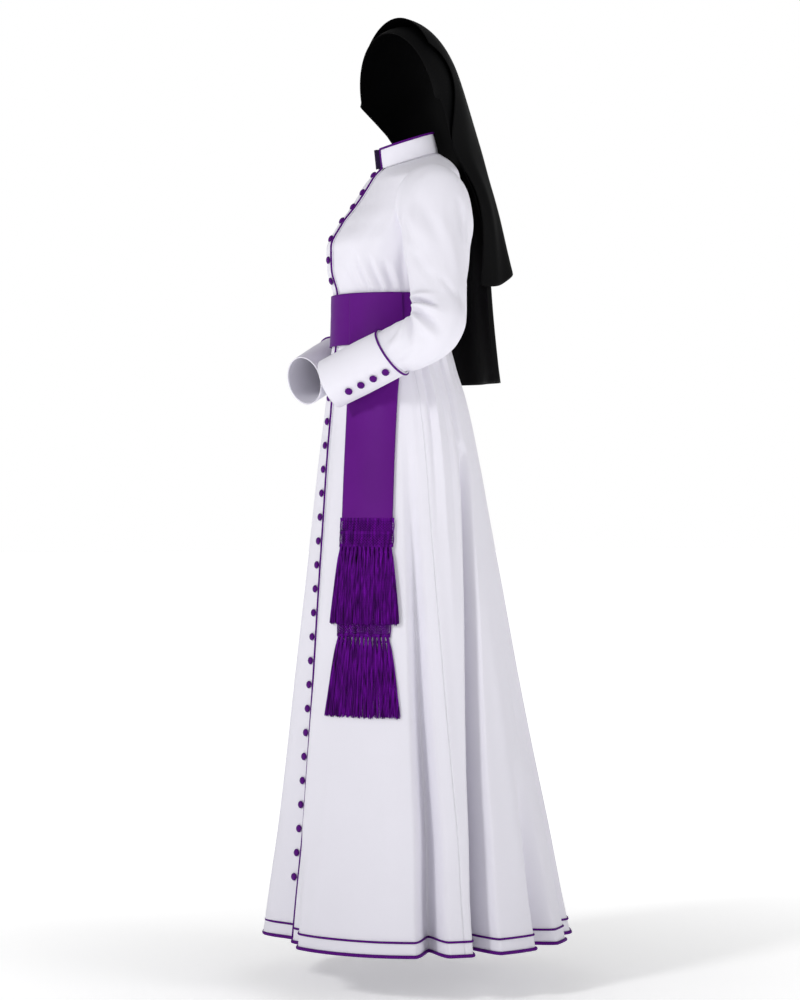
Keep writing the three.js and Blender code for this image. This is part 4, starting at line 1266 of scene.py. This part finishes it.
def collar_points(angle, share, out=0.0):
    """Points on the collar, by angle and share of its height, moved out by a distance."""
    angle, share = np.broadcast_arrays(np.asarray(angle, float), np.asarray(share, float))
    half_width, half_depth, centre_y, rise = (float(v) for v in ring_at(NECK_HEIGHT))
    turn = np.radians(angle)
    top_depth = (COLLAR_TOP[1] + COLLAR_TOP[2]) / 2
    top_y = (COLLAR_TOP[2] - COLLAR_TOP[1]) / 2
    wide = half_width + (COLLAR_TOP[0] - half_width) * share + out
    deep = half_depth + (top_depth - half_depth) * share + out
    y = centre_y + (top_y - centre_y) * share - deep * np.cos(turn) + AXIS_Y
    foot = -rise / 2 * np.cos(turn) + 4 * SEAM
    return stacked(wide * np.sin(turn), y, foot + share * COLLAR_HEIGHT)


COLLAR_START = collar_angle(COLLAR_OPENING[0])
COLLAR_END = 360 + collar_angle(COLLAR_OPENING[1])


class CASSOCK_OT_collar(bpy.types.Operator):
    """Makes the stand collar and the dark strip in its opening"""

    bl_idname = "cassock.collar"
    bl_label = "Collar"

    def execute(self, context):
        angle = np.linspace(COLLAR_START, COLLAR_END, COLLAR_COLUMNS)[None, :]
        share = np.linspace(COLLAR_TURN_IN, 1, COLLAR_ROWS)[:, None]
        bulge = 0.7 * np.sin(math.pi * np.clip(share, 0, 1)) + 0.25 * noise_field(angle / 25, share * 3, 41)
        points = collar_points(angle, share, bulge)
        under = ["front_left_cloth"]
        cloth_piece("collar_cloth", "white_cloth", ["collar"], points, WALL, "stretched", under)
        x, out = np.array(COLLAR_STRIP, float).T
        across = np.linspace(x[0], x[-1], STRIP_COLUMNS)
        angle = np.degrees(np.arcsin(across / COLLAR_FOOT))[None, :]
        out = smooth_curve(x, out)(across)[None, :, 0] + WALL
        points = collar_points(angle, np.linspace(0.02, 0.98, STRIP_ROWS)[:, None], out)
        under = ["collar_cloth"]
        cloth_piece("collar_strip", "dark_purple", ["collar_tab"], points, WALL, "stretched", under)
        return {"FINISHED"}


def lap_points(x, heights, out):
    """Points on the front, by distance from its middle and height."""
    heights = np.asarray(heights, float)
    return cloth(angle_at_x(x, heights), heights, out)


def hem_path(height, out):
    """A closed path on the skirt at a height."""
    return cloth(np.arange(0, 360, 0.5), height, out)


class CASSOCK_OT_piping(bpy.types.Operator):
    """Makes the cords on the front edge, the collar, the hem and the cuffs"""

    bl_idname = "cassock.piping"
    bl_label = "Piping"

    def execute(self, context):
        sizes = context.scene.cassock_sizes
        tree = cord_tree()
        radius = sizes.piping_radius / MM
        inset = radius + 0.2
        heights = np.arange(HEM + 1, NECK_HEIGHT - 1, 4.0)
        front = lap_points(LAP - inset, heights, 1.0)
        edge_angle = COLLAR_START + np.degrees(inset / COLLAR_TOP[0])
        rise = collar_points(edge_angle, np.linspace(0.0, 0.93, 10), 0.6)
        round_angles = np.linspace(edge_angle, COLLAR_END, 130)
        top = collar_points(round_angles, COLLAR_CORD_RISE, 0.6)
        hem_share = sizes.hem_radius / sizes.piping_radius
        line_share = sizes.hem_line_radius / sizes.piping_radius
        hem = hem_path(HEM + HEM_CORD_RISE, 0.9)
        line = hem_path(HEM + HEM_LINE_RISE, 0.8)
        paths = [
            (np.concatenate([front, rise, top]), False),
            (hem, True, [hem_share] * len(hem)),
            (line, True, [line_share] * len(line)),
        ]
        slot = "purple_piping"
        settings = {"Radius": sizes.piping_radius, "Sides": 8}
        grown("edge_piping", slot, ["piping"], path_mesh("edge_piping", paths), tree, settings)
        for side in ("left", "right"):
            ring = cuff_grid(side, [CUFF_LENGTH, CUFF_LENGTH - inset, 100.0], 0.9)[1]
            name = f"cuff_{side}_cord"
            nodes = [f"cuff_piping_{side}"]
            grown(name, slot, nodes, path_mesh(name, [(ring, True)]), tree, settings)
        return {"FINISHED"}


def button_shape(radius):
    """A covered dome with gathers towards its rim and a flat foot."""
    sides = BUTTON_SIDES
    turn = np.arange(sides) * (2 * math.pi / sides)
    vertices = []
    for out, height, gathered in BUTTON_PROFILE:
        gather = 1 + gathered * 0.025 * np.cos(BUTTON_GATHERS * turn)
        vertices.append(stacked(out * gather * np.cos(turn), out * gather * np.sin(turn), height * 0.86))
    rings = len(vertices)
    points = np.concatenate(vertices) * radius
    faces = []
    for row in range(rings - 1):
        for i in range(sides):
            j = (i + 1) % sides
            faces.append((row * sides + i, row * sides + j, (row + 1) * sides + j, (row + 1) * sides + i))
    faces.append(tuple(range(sides - 1, -1, -1)))
    faces.append(tuple((rings - 1) * sides + i for i in range(sides)))
    mesh = bpy.data.meshes.new("button_shape")
    mesh.from_pydata(points.tolist(), [], faces)
    return new_object("button_shape", mesh)


class CASSOCK_OT_buttons(bpy.types.Operator):
    """Makes the covered buttons on the front and the cuffs"""

    bl_idname = "cassock.buttons"
    bl_label = "Buttons"

    def execute(self, context):
        sizes = context.scene.cassock_sizes
        shape = button_shape(sizes.button_radius)
        tree = scatter_tree()
        slot = "purple_buttons"
        settings = {"Shape": shape, "Scale": 1.0}
        heights = np.array(BODICE_BUTTONS + SKIRT_BUTTONS, float)
        angle = angle_at_x(BUTTON_X, heights)
        points = cloth(angle, heights, 0.4)
        source = points_mesh("front_buttons", points, face_normal(angle, heights))
        nodes = [f"button_{i + 1:02d}" for i in range(len(heights))]
        grown("front_buttons", slot, nodes, source, tree, settings)
        for side in ("left", "right"):
            points, facing = self.cuff_places(side)
            name = f"cuff_{side}_buttons"
            nodes = [f"cuff_button_{side}_{i + 1}" for i in range(CUFF_BUTTON_COUNT)]
            grown(name, slot, nodes, points_mesh(name, points, facing), tree, settings)
        bpy.data.objects.remove(shape)
        return {"FINISHED"}

    def cuff_places(self, side):
        """Where a cuff's buttons sit, and the way that they face."""
        wrist, direction, across = arm_frame(side)
        down = across.cross(direction)
        drop = math.radians(CUFF_BUTTON_DROP)
        out = across * CUFF_SQUASH * math.cos(drop) + down * math.sin(drop)
        facing = (across * math.cos(drop) + down * CUFF_SQUASH * math.sin(drop)).normalized()
        points = []
        for i in range(CUFF_BUTTON_COUNT):
            distance = CUFF_BUTTON_FIRST + i * CUFF_BUTTON_SPACING
            bulge = 1.0 * math.sin(math.pi * distance / CUFF_LENGTH)
            points.append(wrist - direction * distance + out * (CUFF_RADIUS + bulge) + facing * 0.4)
        points = np.array([list(p) for p in points])
        facing = np.tile(list(facing), (len(points), 1))
        return (points, facing) if side == "left" else (mirrored(points), mirrored(facing))


# ---------------------------------------------------------------- the fascia
def tail_middle(height):
    """The angle of the tails' middle line at a height."""
    half_width, half_depth, centre_y, _ = ring_at(height)
    slope = math.tan(math.radians(TAIL_ANGLE))
    size = np.hypot(half_width, slope * half_depth)
    return np.degrees(np.arctan2(slope * half_depth, half_width) - np.arcsin(slope * centre_y / size))


def tail_points(layer, aside, height, out=0.0):
    """Points on a hanging layer of the tails, by distance across from its middle and height."""
    aside, height = np.broadcast_arrays(np.asarray(aside, float), np.asarray(height, float))
    middle = tail_middle(height)
    one = face(middle, height, rough=False)
    degree = np.linalg.norm(face(middle + 1, height, rough=False) - one, axis=-1)
    clear = TAIL_CLEAR + 0.4
    if layer == 1:
        over_band = smoothstep(height, BAND_FOOT - 30, BAND_FOOT - 4)
        clear = clear + SILK + TAIL_CLEAR + over_band * (BAND_OUT - TAIL_CLEAR)
    return cloth(middle + aside / degree, height, clear + out, rough=False)


class CASSOCK_OT_fascia(bpy.types.Operator):
    """Makes the fascia's band and its two tails"""

    bl_idname = "cassock.fascia"
    bl_label = "Fascia"

    def execute(self, context):
        heights = np.linspace(BAND_FOOT, BAND_TOP, BAND_ROWS)[:, None]
        angle = np.arange(0, 360, 1.0)[None, :]
        share = (heights - BAND_FOOT) / (BAND_TOP - BAND_FOOT)
        wave = 0.7 * noise_field(angle / 14, share * 2.2, 51) * np.sin(math.pi * share)
        pull = np.abs(noise_field(angle / 30, share * 9, 52, 2)) * 0.5 * np.sin(math.pi * share)
        points = cloth(angle, heights, BAND_OUT + SILK + 0.2 + np.abs(wave) + pull, rough=False)
        nodes, under = ["fascia_band"], ["front_left_cloth"]
        cloth_piece("band_cloth", "purple_satin", nodes, points, SILK, "stretched", under, wrap=True)
        for name, top, foot, fringe_foot, fringe_width, layer in TAILS:
            heights = np.linspace(foot, top, TAIL_ROWS)[:, None]
            aside = np.linspace(-TAIL_WIDTH / 2, TAIL_WIDTH / 2, TAIL_COLUMNS)[None, :]
            ripple = 0.5 * noise_field(aside / 26, heights / 90, 55 + layer)
            roll = -0.5 * np.exp(-((TAIL_WIDTH / 2 - np.abs(aside)) / 2.0) ** 2)
            points = tail_points(layer, aside, heights, SILK + 0.4 + ripple + roll)
            piece = sheet_piece(f"tail_{name}_cloth", points, finish("purple_satin"), TAIL_WALL)
            trimming = make_fringe(context, name, foot, fringe_foot, fringe_width, layer)
            nodes, under = [f"tail_{name}"], ["band_cloth"]
            declare_sheet(piece, nodes)
        return {"FINISHED"}


def make_fringe(context, name, foot, fringe_foot, fringe_width, layer):
    """The knotted net under a tail, and the fringe that hangs from it."""
    sizes = context.scene.cassock_sizes
    tree = cord_tree()
    strands = strand_paths(foot - NET_HEIGHT, fringe_foot, fringe_width, layer)
    trimming = []
    for kind, form, radius, paths in (
        ("net", "cords", sizes.net_radius, net_paths(foot, layer)),
        ("fringe", "strands", sizes.strand_radius, strands),
    ):
        node = f"{kind}_{name}"
        source = path_mesh(f"{node}_{form}", paths)
        settings = {"Radius": radius, "Sides": 5}
        trimming.append(grown(f"{node}_{form}", "purple_fringe", [node], source, tree, settings))
    return trimming


def net_paths(foot, layer):
    """Two bands of crossing cords between three thicker ones, with a loop at each side."""
    half = NET_WIDTH / 2 - 2.5
    top, low = foot - 1.0, foot - NET_HEIGHT + 5
    middle = (top + low) / 2
    bands = ((top, middle), (middle, low))
    fine = np.linspace(0, NET_ROWS, NET_ROWS * 2 + 1)
    paths = []
    for band_top, band_foot in bands:
        height = band_top + (band_foot - band_top) * fine / NET_ROWS
        for going in (1, -1):
            for start in range(NET_CELLS + 1):
                if not 0 <= start + going <= NET_CELLS:
                    continue
                line, at, way = [], start, going
                for _ in range(NET_ROWS + 1):
                    line.append(at)
                    if not 0 <= at + way <= NET_CELLS:
                        way = -way
                    at += way
                aside = (np.interp(fine, np.arange(NET_ROWS + 1), line) * 2 / NET_CELLS - 1) * half
                weave = 0.9 - 0.35 * going * np.cos(math.pi * fine)
                paths.append((tail_points(layer, aside, height, weave), False))
    aside = np.linspace(-half - 2, half + 2, 50)
    for height in (top, middle, low):
        for lift in (-1.1, 1.1):
            sway = 0.3 * np.sin(aside * 0.9 + lift)
            points = tail_points(layer, aside, height + lift + sway, 1.2)
            paths.append((points, False, [RAIL_SHARE] * len(points)))
    for side in (-1, 1):
        for band_top, band_foot in bands:
            share = np.linspace(0, 1, 13)
            bow = half + 0.5 + 1.6 * np.sin(math.pi * share)
            height = band_top + (band_foot - band_top) * share
            paths.append((tail_points(layer, side * bow, height, 1.1), False))
    return paths


def strand_paths(top, foot, width, layer):
    """Strands in tassels that leave the net through a row of gaps, and spread to the foot."""
    random = np.random.default_rng(71 + layer)
    paths = []
    share = np.concatenate([np.linspace(0, 0.2, 6), np.linspace(0.28, 1, 11)])
    for tassel in range(TASSELS):
        knot = ((tassel + 0.5) / TASSELS - 0.5) * (NET_WIDTH - 4)
        spread_foot = ((tassel + 0.5) / TASSELS - 0.5) * width
        lean = random.uniform(-1.5, 1.5)
        for depth in range(STRANDS_DEEP):
            for strand in range(STRANDS_ACROSS):
                at = (strand + 0.5) / STRANDS_ACROSS - 0.5
                wide_top = at * (NET_WIDTH / TASSELS) * 0.78
                wide_foot = at * (width / TASSELS) * random.uniform(0.95, 1.25)
                gather = 1 - 0.45 * np.exp(-(((share - 0.05) / 0.07) ** 2))
                open_out = share**0.85
                width_here = wide_top + (wide_foot - wide_top) * open_out
                aside = (knot + (spread_foot - knot + lean) * open_out) + width_here * gather
                aside = aside + random.normal(0, 0.35) * open_out
                pitch, phase = random.uniform(4, 9), random.uniform(0, 6)
                aside = aside + 0.55 * np.sin(share * pitch + phase) * open_out
                ending = foot + random.normal(0, 1.2) + 3.0 * (2 * at) ** 2
                height = top + 4 + (ending - top - 4) * share
                out = 0.5 + depth * 1.15 + random.uniform(-0.3, 0.3) + 0.6 * np.sin(math.pi * share)
                thin = np.where(share > 0.97, 0.75, 1.0) * random.uniform(0.85, 1.15)
                paths.append((tail_points(layer, aside, height, out), False, thin.tolist()))
        share_knot = np.linspace(0, 1, 7)
        bar = knot + (share_knot - 0.5) * (NET_WIDTH / TASSELS) * 0.62
        for level in (top - 5.0, top - 6.8):
            points = tail_points(layer, bar, level + 0 * bar, 3.4 - 2 * np.abs(2 * share_knot - 1) ** 3)
            paths.append((points, False, [1.25] * len(points)))
    return paths


class CASSOCK_OT_veil(bpy.types.Operator):
    """Makes the veil's long inner tier and its short outer tier"""

    bl_idname = "cassock.veil"
    bl_label = "Veil"

    def execute(self, context):
        for name, rows, dip, seed, rests in (
            ("inner", VEIL_INNER, 0.0, 61, []),
            ("outer", VEIL_OUTER, VEIL_OUTER_DIP, 62, ["veil_inner_cloth"]),
        ):
            points = veil_grid(rows, dip, seed)
            piece, nodes = f"veil_{name}_cloth", [f"veil_{name}"]
            cloth_piece(piece, "black_veil", nodes, points, SILK, "draped", rests, flip=True)
        return {"FINISHED"}


# ---------------------------------------------------------------- the stage
# The camera's degrees round from the front, its distance, and the point it looks at: how far that
# lies to the side of the body's axis, and its height from the neck.
VIEW_ANGLE = 73.0
VIEW_DISTANCE = 5000.0
VIEW_ASIDE = 9.3
VIEW_HEIGHT = -630.0
LENS = 96.77
WORLD_DIM = 0.28  # light from all round, over that from behind
WORLD_TOP = 0.05  # what overhead adds to it
FLOOR_REACH = 40.0
FLOOR_PAINTED_LIGHT = (0.3, 0.85)  # painted light: how strongly the floor glows under the set and far from it
# name, azimuth, elevation, distance, size and power of each soft light
LIGHTS = [("Key", 28, 27, 6.5, 1.1, 152), ("Fill", 130, 16, 6.5, 3.0, 98)]


def soft_light(name, azimuth, elevation, distance, size, power):
    """A round lamp that faces the middle of the set."""
    light = bpy.data.lights.new(name, "AREA")
    light.shape = "DISK"
    light.size = size
    light.energy = power
    lamp = new_object(name, light)
    turn, up = math.radians(azimuth), math.radians(elevation)
    target = Vector((0, 0, -0.65))
    toward = Vector((math.sin(turn) * math.cos(up), -math.cos(turn) * math.cos(up), math.sin(up)))
    lamp.location = target + toward * distance
    lamp.rotation_euler = (-toward).to_track_quat("-Z", "Y").to_euler()


def map_range(tree, value, low, high, to_low, to_high):
    values = {"From Min": low, "From Max": high, "To Min": to_low, "To Max": to_high}
    return add_node(tree, "ShaderNodeMapRange", {"Value": value}, values).outputs[0]


def studio_world():
    """White to look at. It lights the set from behind and overhead, and less all round, so that
    folds keep their shade."""
    world = bpy.data.worlds.new("Studio")
    world.use_nodes = True
    tree = world.node_tree
    place = add_node(tree, "ShaderNodeTexCoord").outputs["Generated"]
    turn = math.radians(VIEW_ANGLE)
    ahead = (-math.sin(turn), math.cos(turn), 0.0)
    facing = add_node(tree, "ShaderNodeVectorMath", {0: place}, {1: ahead}, operation="DOT_PRODUCT")
    behind = map_range(tree, facing.outputs["Value"], 0.8, 0.93, WORLD_DIM, 1.0)
    height = add_node(tree, "ShaderNodeSeparateXYZ", {"Vector": place}).outputs["Z"]
    overhead = map_range(tree, height, 0.35, 0.95, 0.0, WORLD_TOP)
    light = add_node(tree, "ShaderNodeMath", {0: behind, 1: overhead}, operation="ADD").outputs[0]
    seen = add_node(tree, "ShaderNodeLightPath").outputs["Is Camera Ray"]
    shown = add_node(tree, "ShaderNodeMath", {0: light, 1: seen}, operation="MAXIMUM").outputs[0]
    tree.links.new(shown, tree.nodes["Background"].inputs["Strength"])
    tree.nodes["Background"].inputs["Color"].default_value = (1.0, 1.0, 1.0, 1.0)
    return world


class CASSOCK_OT_stage(bpy.types.Operator):
    """Makes the floor, the light and the camera"""

    bl_idname = "cassock.stage"
    bl_label = "Stage"

    def execute(self, context):
        scene = context.scene
        floor = bpy.data.meshes.new("floor")
        level = -NECK_HEIGHT * MM
        square = ((-1, -1), (1, -1), (1, 1), (-1, 1))
        corners = [(x * FLOOR_REACH, y * FLOOR_REACH, level) for x, y in square]
        floor.from_pydata(corners, [], [(0, 1, 2, 3)])
        piece = new_object("floor", floor)
        plain = Finish("Pale floor with painted light", (0.97, 0.97, 0.97), 0.9, spread=0.01, scale=0.5)
        foot = {1: (0.0, 0.0, level)}
        away = add_node(plain.tree, "ShaderNodeVectorMath", {0: plain.place}, foot, operation="DISTANCE")
        # painted light: the floor glows white, less under the set and more further off
        painted_light = map_range(plain.tree, away.outputs["Value"], 0.3, 2.2, *FLOOR_PAINTED_LIGHT)
        plain.tree.links.new(painted_light, plain.shader.inputs["Emission Strength"])
        floor.materials.append(plain.done(specular_ior_level=0.1, emission_color=(1.0, 1.0, 1.0, 1.0)))
        scene.world = studio_world()
        for light in LIGHTS:
            soft_light(*light)
        turn = math.radians(VIEW_ANGLE)
        x, y = VIEW_ASIDE * math.cos(turn), AXIS_Y + VIEW_ASIDE * math.sin(turn)
        target = Vector((x, y, VIEW_HEIGHT)) * MM
        toward = Vector((math.sin(turn), -math.cos(turn), 0))
        camera_data = bpy.data.cameras.new("View")
        camera_data.lens = LENS
        camera = new_object("View", camera_data)
        camera.location = target + toward * VIEW_DISTANCE * MM
        camera.rotation_euler = (-toward).to_track_quat("-Z", "Y").to_euler()
        scene.camera = camera
        scene.view_settings.view_transform = "Standard"
        return {"FINISHED"}


# ---------------------------------------------------------------- the add-on
MAKERS = (
    CASSOCK_OT_panels,
    CASSOCK_OT_sleeves,
    CASSOCK_OT_cuffs,
    CASSOCK_OT_collar,
    CASSOCK_OT_piping,
    CASSOCK_OT_buttons,
    CASSOCK_OT_fascia,
    CASSOCK_OT_veil,
    CASSOCK_OT_stage,
)


class CASSOCK_PT_set(bpy.types.Panel):
    """Lists the set's pieces and its settings"""

    bl_idname = "CASSOCK_PT_set"
    bl_label = "Cassock and veil set"
    bl_space_type = "VIEW_3D"
    bl_region_type = "UI"
    bl_category = "Cassock"

    def draw(self, context):
        for settings in (context.scene.cassock_sizes, context.scene.cassock_colours):
            column = self.layout.column()
            for label in settings.bl_rna.properties.keys():
                if label not in {"rna_type", "name"}:
                    column.prop(settings, label)
        for maker in MAKERS:
            self.layout.operator(maker.bl_idname)


CLASSES = (CassockColours, CassockSizes, *MAKERS, CASSOCK_PT_set)


def register():
    for item in CLASSES:
        bpy.utils.register_class(item)
    bpy.types.Scene.cassock_colours = bpy.props.PointerProperty(type=CassockColours)
    bpy.types.Scene.cassock_sizes = bpy.props.PointerProperty(type=CassockSizes)


def unregister():
    del bpy.types.Scene.cassock_colours
    del bpy.types.Scene.cassock_sizes
    for item in reversed(CLASSES):
        bpy.utils.unregister_class(item)


def main():
    register()
    for maker in MAKERS:
        category, name = maker.bl_idname.split(".")
        getattr(getattr(bpy.ops, category), name)()


if __name__ == "__main__":
    main()
